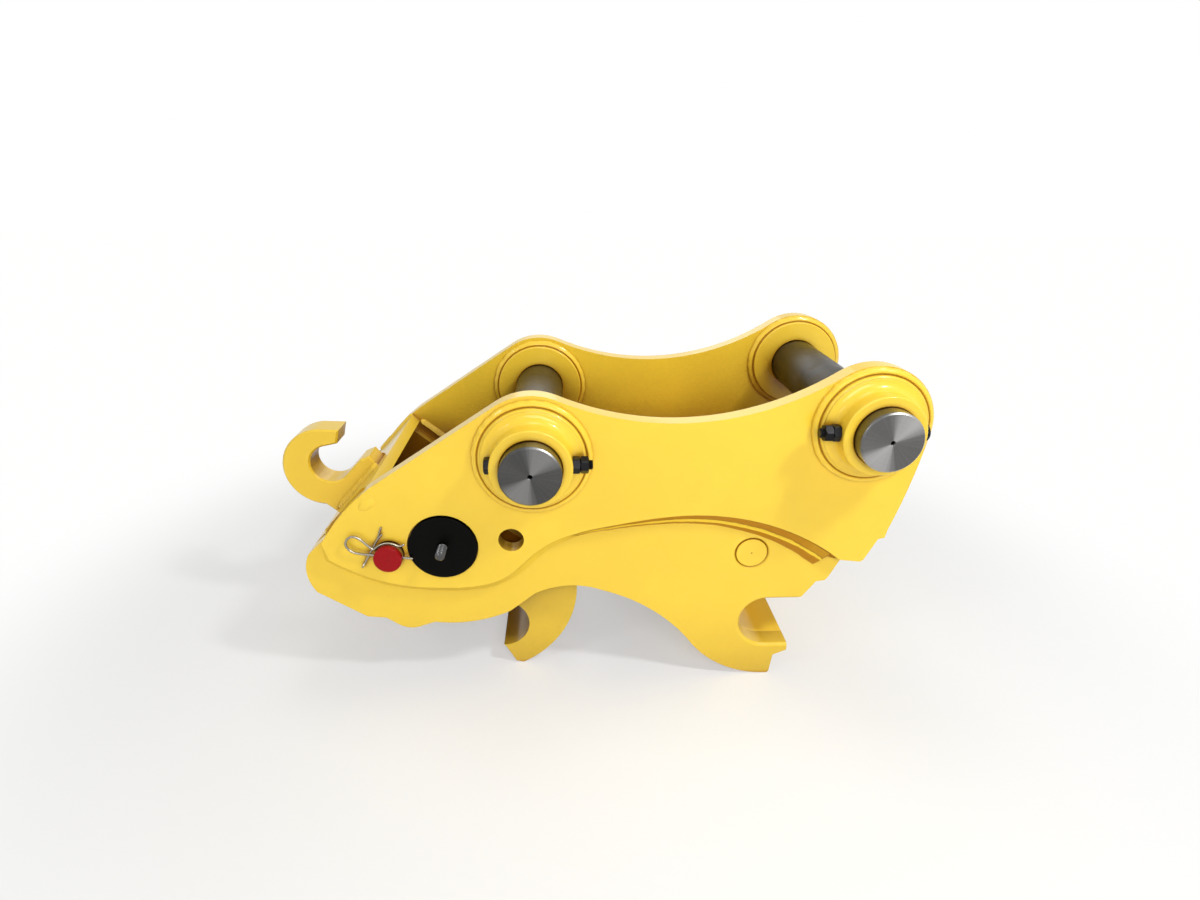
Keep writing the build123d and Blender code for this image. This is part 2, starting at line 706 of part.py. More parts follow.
with BuildPart() as hook_bushes:
    for sign in SIDES.values():
        with BuildSketch(side_plane(slab_start(hook_collar_in, hook_half, sign))):
            with Locations(hinge_at):
                Circle(hinge_pin_r + bush_wall)
                Circle(hinge_pin_r + bush_fit, mode=Mode.SUBTRACT)
        extrude(amount=hook_half - hook_collar_in)
save(hook_bushes.part, "hook_bushes")

with BuildPart() as hook_web:
    with BuildSketch(side_plane(0)):
        with BuildLine():
            hook_outline()
        make_face()
        with Locations(polar(hinge_at, web_distance, web_slope - 90)):
            Rectangle(6 * web_distance, 4 * web_distance, rotation=web_slope,
                      align=(Align.CENTER, Align.MIN), mode=Mode.SUBTRACT)
    extrude(amount=hook_half - hook_cheek_t, both=True)
save(hook_web.part, "hook_lip_web")

with BuildPart() as lever_pin:
    with Locations((lever_at[0], 0, lever_at[1])):
        Cylinder(lever_pin_r, 2 * hook_half, rotation=(90, 0, 0))
save(lever_pin.part, "lever_pin")

# Cylinder between the anchor bar and the hook's lever
ram_plane = Plane(origin=(anchor_at[0], 0, anchor_at[1]), x_dir=(rod_dir[0], 0, rod_dir[1]), z_dir=(0, -1, 0))
ram_axis = Axis(ram_plane.origin, ram_plane.x_dir)
bore_start = cylinder_eye_r + barrel_end_t
with BuildPart() as barrel:
    with BuildSketch(ram_plane):
        with BuildLine():
            Polyline((0, 0), (0, barrel_r), (barrel_length, barrel_r), (barrel_length, barrel_bore_r),
                     (bore_start, barrel_bore_r), (bore_start, 0), close=True)
        make_face()
    revolve(axis=ram_axis)
    with Locations((anchor_at[0], 0, anchor_at[1])):
        Cylinder(cylinder_eye_r, 2 * cylinder_eye_half, rotation=(90, 0, 0))
        Cylinder(anchor_r + slide_fit, 3 * cylinder_eye_half, rotation=(90, 0, 0), mode=Mode.SUBTRACT)
save(barrel.part, "cylinder_barrel")

with BuildPart() as gland:
    with BuildSketch(ram_plane):
        with BuildLine():
            Polyline((barrel_length - gland_depth, rod_r + slide_fit), (barrel_length - gland_depth, barrel_bore_r - pin_fit),
                     (barrel_length, barrel_bore_r - pin_fit), (barrel_length, gland_r),
                     (barrel_length + gland_nose, gland_r), (barrel_length + gland_nose, rod_r + slide_fit),
                     close=True)
        make_face()
    revolve(axis=ram_axis)
save(gland.part, "cylinder_gland")

with BuildPart() as ports:
    for place in (port_rear, port_front):
        up = Plane(origin=ram_plane.from_local_coords(Vector(place, 0, 0)), x_dir=(0, 1, 0),
                   z_dir=-ram_plane.y_dir)
        with BuildSketch(up.offset(barrel_r - port_height)):
            Circle(port_r)
            Circle(port_bore_r, mode=Mode.SUBTRACT)
        extrude(amount=2 * port_height)
    with BuildSketch(ram_plane):
        with BuildLine():
            Polyline((0, 0), (0, barrel_r), (barrel_length, barrel_r), (barrel_length, 0), close=True)
        make_face()
    revolve(axis=ram_axis, mode=Mode.SUBTRACT)
save(ports.part, "cylinder_ports")

piston_start = bore_start + piston_back
with BuildPart() as rod:
    with BuildSketch(ram_plane):
        with BuildLine():
            Polyline((piston_start, 0), (piston_start, rod_r), (cylinder_length, rod_r), (cylinder_length, 0),
                     close=True)
        make_face()
    revolve(axis=ram_axis)
    with Locations((lever_at[0], 0, lever_at[1])):
        Cylinder(rod_eye_r, 2 * cylinder_eye_half, rotation=(90, 0, 0))
        Cylinder(lever_pin_r + rod_eye_play, 3 * cylinder_eye_half, rotation=(90, 0, 0), mode=Mode.SUBTRACT)
save(rod.part, "cylinder_rod")

with BuildPart() as piston:
    with BuildSketch(ram_plane):
        with BuildLine():
            Polyline((piston_start, rod_r + pin_fit), (piston_start, barrel_bore_r - slide_fit),
                     (piston_start + piston_t, barrel_bore_r - slide_fit), (piston_start + piston_t, rod_r + pin_fit),
                     close=True)
        make_face()
    revolve(axis=ram_axis)
save(piston.part, "cylinder_piston")

# Safety pin, resting on the low side of its holes
pin_at = near(safety_at, 0, safety_pin_r - safety_hole_r + safety_seat)
leg = Plane(origin=(pin_at[0], -clip_half, pin_at[1]), x_dir=(cos(radians(clip_slope)), 0, sin(radians(clip_slope))),
            z_dir=(0, -1, 0))
rod_end = safety_half - safety_cap_t
with BuildPart() as safety_pin:
    with Locations((pin_at[0], 0, pin_at[1])):
        Cylinder(safety_pin_r, 2 * rod_end, rotation=(90, 0, 0))
    with BuildSketch(Plane(origin=leg.origin, x_dir=(0, 1, 0), z_dir=leg.x_dir)):
        Circle(clip_wire_r + clip_hole_fit)
    extrude(amount=2 * safety_pin_r, both=True, mode=Mode.SUBTRACT)
save(safety_pin.part, "safety_pin")

with BuildPart() as safety_cap:
    with Locations((pin_at[0], -(rod_end + safety_cap_t / 2), pin_at[1])):
        Cylinder(safety_cap_r, safety_cap_t, rotation=(90, 0, 0))
    chamfer(safety_cap.edges().sort_by(Axis.Y)[0], safety_cap_edge)
save(safety_cap.part, "safety_pin_cap")

# R-clip: a straight leg through the pin, a loop, and a waved leg that lies over the pin
clip_route = [(clip_reach, 0), (-84, 0), (-84, 47), (-52, 47), (-31, 11), (-18, 28.5), (0, 33), (24, 37)]
with BuildPart() as clip:
    with BuildLine(leg):
        clip_line = FilletPolyline(clip_route, radius=[22, 22, 6, 6, 12, 12])
    with BuildSketch(Plane(origin=clip_line @ 0, z_dir=clip_line % 0)):
        Circle(clip_wire_r)
    sweep(path=clip_line)
save(clip.part, "safety_clip")

# Split cotter that lies flat on the plate beside the pin, behind the clip
cotter_plane = Plane(origin=(pin_at[0], -(plate_out + cotter_wire_r + cotter_gap), pin_at[1]),
                     x_dir=(cos(radians(cotter_slope)), 0, sin(radians(cotter_slope))), z_dir=(0, -1, 0))
cotter_route = [(cotter_high, cotter_line + 6), (cotter_high - 34, cotter_line + 2.2), (-36, cotter_line + 2.2),
                (-42, cotter_line + 7), (-54, cotter_line + 7), (-54, cotter_line - 7), (-42, cotter_line - 7),
                (-36, cotter_line - 2.2), (cotter_high - 34, cotter_line - 2.2), (cotter_high, cotter_line - 2.6)]
with BuildPart() as cotter:
    with BuildLine(cotter_plane):
        cotter_path = FilletPolyline(cotter_route, radius=[8, 4, 3, 5, 5, 3, 4, 8])
    with BuildSketch(Plane(origin=cotter_path @ 0, z_dir=cotter_path % 0)):
        Circle(cotter_wire_r)
    sweep(path=cotter_path)
save(cotter.part, "safety_cotter")
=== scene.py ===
"""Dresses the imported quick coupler: painted steel, pins, bolts, clip, welds, floor, lamps and camera.

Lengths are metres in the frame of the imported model: the origin lies on the arm pin's axis at mid width,
X runs towards the fixed hook, Y to the left side and Z up. Every new piece is built in place, so its
object stays at the origin.
"""
from __future__ import annotations

import json
import logging
from dataclasses import dataclass, field
from enum import Enum
from typing import Sequence

import bmesh
import bpy
import numpy as np
from mathutils import Euler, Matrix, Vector

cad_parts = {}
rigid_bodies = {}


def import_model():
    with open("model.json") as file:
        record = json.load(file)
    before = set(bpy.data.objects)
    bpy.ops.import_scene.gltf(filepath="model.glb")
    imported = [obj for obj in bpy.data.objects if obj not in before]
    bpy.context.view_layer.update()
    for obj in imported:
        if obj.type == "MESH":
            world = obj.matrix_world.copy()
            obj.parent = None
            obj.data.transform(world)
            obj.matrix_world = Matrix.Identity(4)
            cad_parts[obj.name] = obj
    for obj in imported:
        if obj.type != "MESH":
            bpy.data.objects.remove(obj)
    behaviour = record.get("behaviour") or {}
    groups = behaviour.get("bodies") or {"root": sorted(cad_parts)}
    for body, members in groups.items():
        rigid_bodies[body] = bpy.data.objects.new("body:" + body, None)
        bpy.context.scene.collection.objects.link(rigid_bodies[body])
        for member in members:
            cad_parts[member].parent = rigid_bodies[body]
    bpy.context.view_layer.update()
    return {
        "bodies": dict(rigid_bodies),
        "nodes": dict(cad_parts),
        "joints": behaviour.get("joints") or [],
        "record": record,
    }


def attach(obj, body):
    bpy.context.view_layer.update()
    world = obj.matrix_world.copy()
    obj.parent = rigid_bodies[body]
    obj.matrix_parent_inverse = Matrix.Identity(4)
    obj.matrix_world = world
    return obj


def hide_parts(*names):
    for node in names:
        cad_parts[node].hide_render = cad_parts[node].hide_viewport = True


LOG = logging.getLogger("coupler")
MM = 0.001
Array = np.ndarray


class Side(Enum):
    """Side of the coupler, as the sign of Y."""

    RIGHT = -1
    LEFT = 1


class Body(str, Enum):
    """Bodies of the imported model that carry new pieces."""

    FRAME = "frame"
    SAFETY_PIN = "safety_pin"
    CLIP = "clip"


class Slot(str, Enum):
    """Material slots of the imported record."""

    YELLOW = "yellow_paint"
    PIN = "pin_steel"
    OXIDE = "black_oxide"
    BLACK = "black_paint"
    BRONZE = "bronze"
    PLATED = "plated_steel"
    CHROME = "rod_chrome"
    RED = "red_paint"


# Surfaces


@dataclass(frozen=True)
class Shell:
    """Points and quads of one surface."""

    points: Array
    quads: Array

    def placed(self, origin: Sequence[float], x: Sequence[float], y: Sequence[float],
               z: Sequence[float]) -> Shell:
        """Moves the surface from its own axes: origin + x * px + y * py + z * pz for each point."""
        axes = np.array([x, y, z], float)
        return Shell(np.asarray(origin, float) + self.points @ axes, self.quads)


def grid(points: Array, loop_u: bool = False, loop_v: bool = False) -> Shell:
    """Joins a grid of points with one quad for each cell.

    Args:
        points: array of shape (u, v, 3), in metres.
        loop_u: joins the last row to the first.
        loop_v: joins the last column to the first.

    Returns:
        The surface.
    """
    rows, columns = points.shape[:2]
    u = np.arange(rows if loop_u else rows - 1)
    v = np.arange(columns if loop_v else columns - 1)
    uu, vv = np.meshgrid(u, v, indexing="ij")
    u1, v1 = (uu + 1) % rows, (vv + 1) % columns
    quads = np.stack([uu * columns + vv, u1 * columns + vv, u1 * columns + v1, uu * columns + v1], axis=-1)
    return Shell(points.reshape(-1, 3), quads.reshape(-1, 4))


def solid_object(name: str, shells: Sequence[Shell], sharp: float = 40.0) -> bpy.types.Object:
    """Makes one mesh object from closed surfaces, with doubles merged and faces turned outwards.

    Args:
        name: name of the object and its mesh.
        shells: the surfaces.
        sharp: angle in degrees past which an edge is drawn sharp.

    Returns:
        The new object, linked to the scene.
    """
    starts = np.cumsum([0] + [len(shell.points) for shell in shells[:-1]])
    points = np.concatenate([shell.points for shell in shells])
    quads = np.concatenate([shell.quads + start for shell, start in zip(shells, starts)])
    mesh = bpy.data.meshes.new(name)
    mesh.vertices.add(len(points))
    mesh.vertices.foreach_set("co", np.ascontiguousarray(points, np.float32).ravel())
    mesh.loops.add(quads.size)
    mesh.loops.foreach_set("vertex_index", np.ascontiguousarray(quads, np.int32).ravel())
    mesh.polygons.add(len(quads))
    mesh.polygons.foreach_set("loop_start", np.arange(0, quads.size, 4, dtype=np.int32))
    mesh.update(calc_edges=True)
    mesh.validate()
    work = bmesh.new()
    work.from_mesh(mesh)
    bmesh.ops.remove_doubles(work, verts=work.verts, dist=2e-6)
    bmesh.ops.dissolve_degenerate(work, dist=1e-6, edges=work.edges)
    bmesh.ops.recalc_face_normals(work, faces=work.faces)
    work.to_mesh(mesh)
    work.free()
    mesh.polygons.foreach_set("use_smooth", np.ones(len(mesh.polygons), bool))
    mesh.set_sharp_from_angle(angle=np.radians(sharp))
    made = bpy.data.objects.new(name, mesh)
    bpy.context.scene.collection.objects.link(made)
    return made


def rounded(corners: Sequence[tuple[float, float]], radii: Sequence[float], steps: int = 6) -> Array:
    """Rounds the corners of an open line with arcs.

    Each inner corner is cut back by r / tan(half its angle) along both runs, and the arc between the two
    cuts turns at an even rate about the point that lies r from both runs.

    Args:
        corners: points of the line.
        radii: one radius for each inner corner, 0 for a sharp one.
        steps: number of runs in each arc.

    Returns:
        Array of shape (n, 2) with the rounded line.
    """
    points = np.asarray(corners, float)
    out = [points[:1]]
    for before, at, after, r in zip(points[:-2], points[1:-1], points[2:], radii):
        a, b = before - at, after - at
        a, b = a / np.linalg.norm(a), b / np.linalg.norm(b)
        half = 0.5 * np.arccos(np.clip(a @ b, -1, 1))
        if r <= 0 or half > np.pi / 2 - 1e-3:
            out.append(at[None])
            continue
        centre = at + (a + b) / np.linalg.norm(a + b) * r / np.sin(half)
        start, end = at + a * r / np.tan(half) - centre, at + b * r / np.tan(half) - centre
        share = np.linspace(0, 1, steps + 1)[:, None]
        turn = np.pi - 2 * half
        out.append(centre + (np.sin((1 - share) * turn) * start + np.sin(share * turn) * end) / np.sin(turn))
    out.append(points[-1:])
    return np.concatenate(out)


def turned(profile: Array, centre: tuple[float, float], segments: int = 128, closed: bool = True) -> Shell:
    """Carries a profile round a Y axis.

    A point (r, y) of the profile goes to (cx + r cos t, y, cz + r sin t) for each angle t of a full turn.

    Args:
        profile: array of (radius, y).
        centre: X and Z of the axis.
        segments: number of steps round the axis.
        closed: joins the profile's end to its start.

    Returns:
        The surface.
    """
    t = np.linspace(0, 2 * np.pi, segments, endpoint=False)[:, None]
    r, y = profile[None, :, 0], profile[None, :, 1]
    points = np.stack([centre[0] + r * np.cos(t), y + 0 * t, centre[1] + r * np.sin(t)], axis=-1)
    return grid(points, loop_u=True, loop_v=closed)


def hexagon(across: float, height: float, bore: float, cut: tuple[bool, bool]) -> Shell:
    """Hexagon nut or bolt head about its own Z axis, from z = 0 to its height.

    The radius at angle t and height z is the least of the hexagon, which is half the width across flats
    over cos of the angle from the nearest flat, and of a 30 degree cone from each chamfered end.

    Args:
        across: width across flats.
        height: height of the nut.
        bore: radius of the bore, 0 for a bolt head.
        cut: whether the low and the high end are chamfered.

    Returns:
        The surface.
    """
    t = np.linspace(0, 2 * np.pi, 96, endpoint=False)[:, None]
    flat = across / 2 / np.cos((t + np.pi / 6) % (np.pi / 3) - np.pi / 6)
    edge, tip, rim = 0.16 * across, 0.57 * across, 0.47 * across
    z = np.concatenate([np.linspace(0, edge, 9), np.linspace(height - edge, height, 9)])[None]
    cone = np.full_like(z, across)
    slope = np.tan(np.radians(60))
    low, high = rim + slope * z, rim + slope * (height - z)
    cone = np.minimum(cone, low) if cut[0] else cone
    cone = np.minimum(cone, high) if cut[1] else cone
    r = np.minimum(np.minimum(flat, tip), cone)
    lip = 0.6 * MM
    before = [(bore, lip), (bore + lip, 0.0)] if bore else [(0.0, 0.0)]
    after = [(bore + lip, height), (bore, height - lip)] if bore else [(0.0, height)]
    r = np.concatenate([np.broadcast_to([p[0] for p in before], (len(t), len(before))), r,
                        np.broadcast_to([p[0] for p in after], (len(t), len(after)))], axis=1)
    z = np.concatenate([[p[1] for p in before], z[0], [p[1] for p in after]])[None]
    points = np.stack([r * np.cos(t), r * np.sin(t), z + 0 * t], axis=-1)
    return grid(points, loop_u=True, loop_v=bool(bore))


def threaded(radius: float, length: float, pitch: float, smooth: float = 0.0) -> Shell:
    """Threaded rod about its own Z axis, from z = 0 to its length, with a chamfered far end.

    The radius is the rod's less the depth times how far the point lies from the crest of the helix, whose
    place along the axis moves on by one pitch for each turn.

    Args:
        radius: outside radius.
        length: length of the rod.
        pitch: rise of the thread in one turn.
        smooth: length without thread at the start.

    Returns:
        The surface.
    """
    rings_per_turn = 9
    depth, end_cut = 0.5 * pitch, 0.75 * pitch
    t = np.linspace(0, 2 * np.pi, 40, endpoint=False)[:, None]
    z = np.linspace(0, length, max(int(length / pitch * rings_per_turn), 8))[None]
    phase = (z / pitch - t / (2 * np.pi)) % 1.0
    tooth = np.clip(np.abs(2 * phase - 1) * 1.25 - 0.1, 0, 1)
    start = np.clip((z - smooth) / pitch, 0, 1)
    r = radius - depth * tooth * start
    r = np.minimum(r, radius - end_cut + (length - z))
    ends = np.zeros((len(t), 1))
    r = np.concatenate([ends, r, ends], axis=1)
    z = np.concatenate([[0.0], z[0], [length]])[None]
    return grid(np.stack([r * np.cos(t), r * np.sin(t), z + 0 * t], axis=-1), loop_u=True)


def smooth_line(points: Sequence[Sequence[float]], step: float) -> Array:
    """Draws a smooth line through points and samples it at even steps of its length.

    Between two points the line is a cubic whose slope at each point is half the run from the point before
    to the point after.

    Args:
        points: the points that the line goes through.
        step: distance between samples.

    Returns:
        Array of shape (count, dimensions).
    """
    p = np.asarray(points, float)
    p = np.concatenate([2 * p[:1] - p[1:2], p, 2 * p[-1:] - p[-2:-1]])
    t = np.linspace(0, 1, 24, endpoint=False)[None, :, None]
    a, b, c, d = (p[i:len(p) - 3 + i, None] for i in range(4))
    dense = 0.5 * (2 * b + (c - a) * t + (2 * a - 5 * b + 4 * c - d) * t**2 + (3 * b - a - 3 * c + d) * t**3)
    dense = np.concatenate([dense.reshape(-1, p.shape[1]), p[-2:-1]])
    return even_steps(dense, step)


def even_steps(line: Array, step: float) -> Array:
    """Samples a line at even steps of its length."""
    run = np.concatenate([[0], np.cumsum(np.linalg.norm(np.diff(line, axis=0), axis=1))])
    at = np.linspace(0, run[-1], max(int(run[-1] / step), 2) + 1)
    return np.stack([np.interp(at, run, line[:, i]) for i in range(line.shape[1])], axis=1)


def unit(vectors: Array) -> Array:
    """Scales each vector to length 1."""
    return vectors / np.linalg.norm(vectors, axis=-1, keepdims=True)


def wire(line: Array, radius: float, across: Sequence[float], around: int = 16) -> Shell:
    """Carries a round section along a line and closes both ends with a dome.

    At each point the section is a circle in the plane of (across x tangent) and of the direction that is
    square to both; across is a direction that the line never runs along.

    Args:
        line: array of shape (n, 3).
        radius: radius of the wire.
        across: direction that settles how the section is turned.
        around: points round the section.

    Returns:
        The surface.
    """
    tangent = unit(np.gradient(line, axis=0))
    side = unit(np.cross(np.broadcast_to(np.asarray(across, float), line.shape), tangent))
    up = np.cross(tangent, side)
    dome = np.array([0.0, 0.5, 0.8, 0.95])
    reach = np.sqrt(1 - dome**2)[:, None] * radius
    middle = np.concatenate([line[:1] - tangent[:1] * reach, line, line[-1:] + tangent[-1:] * reach[::-1]])
    scale = np.concatenate([dome, np.ones(len(line)), dome[::-1]]) * radius
    side = np.concatenate([np.repeat(side[:1], 4, 0), side, np.repeat(side[-1:], 4, 0)])
    up = np.concatenate([np.repeat(up[:1], 4, 0), up, np.repeat(up[-1:], 4, 0)])
    t = np.linspace(0, 2 * np.pi, around, endpoint=False)[None, :, None]
    ring = side[:, None] * np.cos(t) + up[:, None] * np.sin(t)
    return grid(middle[:, None] + ring * scale[:, None, None], loop_v=True)


def waves(at: Array, seed: int) -> Array:
    """Uneven but repeatable height between about -1 and 1: nine sine waves with seeded lengths."""
    rng = np.random.default_rng(seed)
    out = np.zeros_like(at, dtype=float)
    for octave in range(3):
        for _ in range(3):
            out += np.sin(at * 2.0**octave * rng.uniform(0.7, 1.4) + rng.uniform(0, 6.3)) / (3 * 1.7**octave)
    return out


def bead(line: Array, first: Sequence[float], second: Sequence[float], leg: float, seed: int) -> Shell:
    """Fillet weld in the corner between two faces that meet along a line.

    The section is a straight slope from one face to the other, a little full in its middle: at an angle t
    from the first face its reach is (1 + 0.16 sin 2t) / (cos t + sin t). The size swells and shrinks slowly
    along the weld, and by crescents of one ripple each, which lag at the two faces.

    Args:
        line: corner line, array of shape (n, 3).
        first: direction along the first face, away from the corner.
        second: direction along the second face, away from the corner.
        leg: size of the weld.
        seed: seed of its unevenness.

    Returns:
        The surface.
    """
    run = np.concatenate([[0], np.cumsum(np.linalg.norm(np.diff(line, axis=0), axis=1))])[:, None]
    angle = np.radians(np.linspace(-12, 102, 11))[None]
    ripple = 3.6 * MM
    phase = run / ripple * 2 * np.pi - 2.4 * np.sin(2 * angle)
    size = leg * (1 + 0.07 * waves(run / (9 * MM), seed) + 0.05 * np.sin(phase))
    fade = np.clip(np.minimum(run, run[-1] - run) / leg, 0, 1)
    section = (1 + 0.16 * np.sin(2 * angle)) / (np.cos(angle) + np.sin(angle))
    size = size * (0.25 + 0.75 * np.sqrt(fade)) * section
    a, b = np.asarray(first, float), np.asarray(second, float)
    points = line[:, None] + size[..., None] * (np.cos(angle)[..., None] * a + np.sin(angle)[..., None] * b)
    root = line[:, None] - (a + b) * 0.15 * leg
    points = np.concatenate([points, root], axis=1)
    cap = points.mean(axis=1, keepdims=True) + 0 * points
    return grid(np.concatenate([cap[:1], points, cap[-1:]]), loop_v=True)


# Finishes


def new_group(name: str, inputs: Sequence[tuple[str, str, float]],
              outputs: Sequence[tuple[str, str]]) -> bpy.types.NodeTree:
    """Makes a shader node group with named sockets.

    Args:
        name: name of the group.
        inputs: name, socket type and default of each input.
        outputs: name and socket type of each output.

    Returns:
        The group, with its two end nodes in it.
    """
    group = bpy.data.node_groups.new(name, "ShaderNodeTree")
    for label, kind, default in inputs:
        socket = group.interface.new_socket(name=label, in_out="INPUT", socket_type=kind)
        if kind == "NodeSocketFloat":
            socket.default_value = default
    for label, kind in outputs:
        group.interface.new_socket(name=label, in_out="OUTPUT", socket_type=kind)
    group.nodes.new("NodeGroupInput").name = "in"
    group.nodes.new("NodeGroupOutput").name = "out"
    return group


class Nodes:
    """Short calls for adding and joining shader nodes in one tree."""

    def __init__(self, tree: bpy.types.NodeTree) -> None:
        """Keeps the tree that the nodes go into."""
        self.tree = tree

    def add(self, kind: str, **values: object) -> bpy.types.Node:
        """Adds a node; a value whose name is an input goes to that input, any other to the node."""
        node = self.tree.nodes.new(kind)
        for key, value in values.items():
            label = key.replace("_", " ")
            if any(socket.name.lower() == label for socket in node.inputs):
                self.put(node, label, value)
            else:
                setattr(node, key, value)
        return node

    def put(self, node: bpy.types.Node, label: str | int, value: object) -> None:
        """Sets an input to a number, or joins it to an output socket."""
        found = node.inputs[label] if isinstance(label, int) else next(
            s for s in node.inputs if s.name.lower() == label.lower() and s.enabled)
        if isinstance(value, bpy.types.NodeSocket):
            self.tree.links.new(value, found)
        else:
            found.default_value = value

    def maths(self, operation: str, a: object, b: object = 0.0, clamp: bool = False) -> bpy.types.NodeSocket:
        """One step of arithmetic on two numbers."""
        node = self.tree.nodes.new("ShaderNodeMath")
        node.operation = operation
        node.use_clamp = clamp
        self.put(node, 0, a)
        self.put(node, 1, b)
        return node.outputs[0]

    def vector(self, operation: str, a: object, b: object) -> bpy.types.NodeSocket:
        """One step of arithmetic on two vectors."""
        node = self.tree.nodes.new("ShaderNodeVectorMath")
        node.operation = operation
        self.put(node, 0, a)
        self.put(node, 1, b)
        return node.outputs[0]

    def noise(self, at: object, scale: object, detail: float = 3.0,
              rough: float = 0.5) -> bpy.types.NodeSocket:
        """Noise between 0 and 1 at a point."""
        node = self.add("ShaderNodeTexNoise", vector=at, scale=scale, detail=detail, roughness=rough)
        return node.outputs["Fac"]

    def span(self, value: object, low: float, high: float, to_low: float = 0.0,
             to_high: float = 1.0) -> bpy.types.NodeSocket:
        """Maps a number from one range to another, held at both ends."""
        node = self.tree.nodes.new("ShaderNodeMapRange")
        node.interpolation_type = "SMOOTHSTEP"
        for label, number in (("Value", value), ("From Min", low), ("From Max", high), ("To Min", to_low),
                              ("To Max", to_high)):
            self.put(node, label, number)
        return node.outputs["Result"]

    def blend(self, share: object, a: object, b: object) -> bpy.types.NodeSocket:
        """Mixes two colours."""
        node = self.tree.nodes.new("ShaderNodeMix")
        node.data_type = "RGBA"
        self.put(node, 0, share)
        self.put(node, 6, a)
        self.put(node, 7, b)
        return node.outputs[2]


def spray_group() -> bpy.types.NodeTree:
    """Sprayed paint on thick plate: slow waves, orange peel, runs, and a mask of thin and thick patches."""
    group = new_group("sprayed_steel", [("Vector", "NodeSocketVector", 0), ("Wave", "NodeSocketFloat", 9.0),
                                        ("Peel", "NodeSocketFloat", 420.0)],
                      [("Height", "NodeSocketFloat"), ("Patches", "NodeSocketFloat"),
                       ("Dust", "NodeSocketFloat")])
    n = Nodes(group)
    at = group.nodes["in"].outputs["Vector"]
    slow = n.noise(at, group.nodes["in"].outputs["Wave"], 2.0, 0.45)
    peel = n.noise(at, group.nodes["in"].outputs["Peel"], 1.0, 0.4)
    stretched = n.vector("MULTIPLY", at, (26.0, 26.0, 5.0))
    runs = n.noise(stretched, 1.0, 3.0, 0.5)
    height = n.maths("ADD", n.maths("MULTIPLY", slow, 1.0), n.maths("MULTIPLY", peel, 0.035))
    height = n.maths("ADD", height, n.maths("MULTIPLY", runs, 0.06))
    patches = n.span(n.noise(at, 3.2, 4.0, 0.6), 0.3, 0.72)
    dust = n.span(n.noise(at, 60.0, 5.0, 0.65), 0.5, 0.8)
    out = group.nodes["out"]
    n.put(out, "Height", height)
    n.put(out, "Patches", patches)
    n.put(out, "Dust", dust)
    return group


def turned_group() -> bpy.types.NodeTree:
    """Lathe marks round a Y axis: fine rings by the distance from the axis, and rings along it by Y.

    Sheen is a painted sheen: brighter steel in two opposite wedges at a fixed angle round the axis, broken up
    into fine rays, standing in for the highlight of lamps on a turned face.
    """
    group = new_group("turned_steel",
                      [("Vector", "NodeSocketVector", 0), ("Pitch", "NodeSocketFloat", 900.0)],
                      [("Height", "NodeSocketFloat"), ("Radius", "NodeSocketFloat"),
                       ("Sheen", "NodeSocketFloat"), ("Stain", "NodeSocketFloat")])
    n = Nodes(group)
    at = group.nodes["in"].outputs["Vector"]
    parts = n.add("ShaderNodeSeparateXYZ", vector=at)
    x, y, z = parts.outputs
    radius = n.maths("SQRT", n.maths("ADD", n.maths("MULTIPLY", x, x), n.maths("MULTIPLY", z, z)))
    where = n.maths("ADD", radius, y)
    line = n.add("ShaderNodeCombineXYZ", x=n.maths("MULTIPLY", where, group.nodes["in"].outputs["Pitch"]))
    rings = n.noise(line.outputs[0], 1.0, 2.0, 0.6)
    out = group.nodes["out"]
    n.put(out, "Height", rings)
    # Painted sheen: two opposite bright wedges at a fixed angle round the axis, broken up by fine rays.
    angle = n.maths("ARCTAN2", z, x)
    painted_sheen_wedge = n.span(n.maths("COSINE", n.maths("ADD", n.maths("MULTIPLY", angle, 2.0), 4.2)), -0.2, 1.0)
    ray = n.add("ShaderNodeCombineXYZ", x=n.maths("MULTIPLY", n.maths("COSINE", angle), 9.0),
                y=n.maths("MULTIPLY", n.maths("SINE", angle), 9.0))
    rays = n.span(n.noise(ray.outputs[0], 1.0, 3.0, 0.6), 0.3, 0.75)
    n.put(out, "Radius", radius)
    n.put(out, "Sheen", n.maths("ADD", n.maths("MULTIPLY", painted_sheen_wedge, 0.82), n.maths("MULTIPLY", rays, 0.18)))
    n.put(out, "Stain", n.noise(at, 14.0, 6.0, 0.65))
    return group


class Groups:
    """The shared shader groups, built once."""

    def __init__(self) -> None:
        """Builds both groups."""
        self.spray = spray_group()
        self.turned = turned_group()


def fresh_material(name: str) -> tuple[bpy.types.Material, Nodes, bpy.types.Node, bpy.types.NodeSocket]:
    """Makes a material with one Principled shader, and the socket of the object's own coordinates.

    Args:
        name: name of the material.

    Returns:
        The material, its node helper, the shader and the coordinate socket.
    """
    material = bpy.data.materials.new(name)
    material.use_nodes = True
    material.node_tree.nodes.clear()
    n = Nodes(material.node_tree)
    shader = n.add("ShaderNodeBsdfPrincipled")
    end = n.add("ShaderNodeOutputMaterial")
    material.node_tree.links.new(shader.outputs[0], end.inputs["Surface"])
    where = n.add("ShaderNodeTexCoord").outputs["Object"]
    return material, n, shader, where


def place_group(n: Nodes, group: bpy.types.NodeTree, **values: object) -> bpy.types.Node:
    """Places a shader group in a material and sets its inputs."""
    node = n.tree.nodes.new("ShaderNodeGroup")
    node.node_tree = group
    for key, value in values.items():
        n.put(node, key, value)
    return node


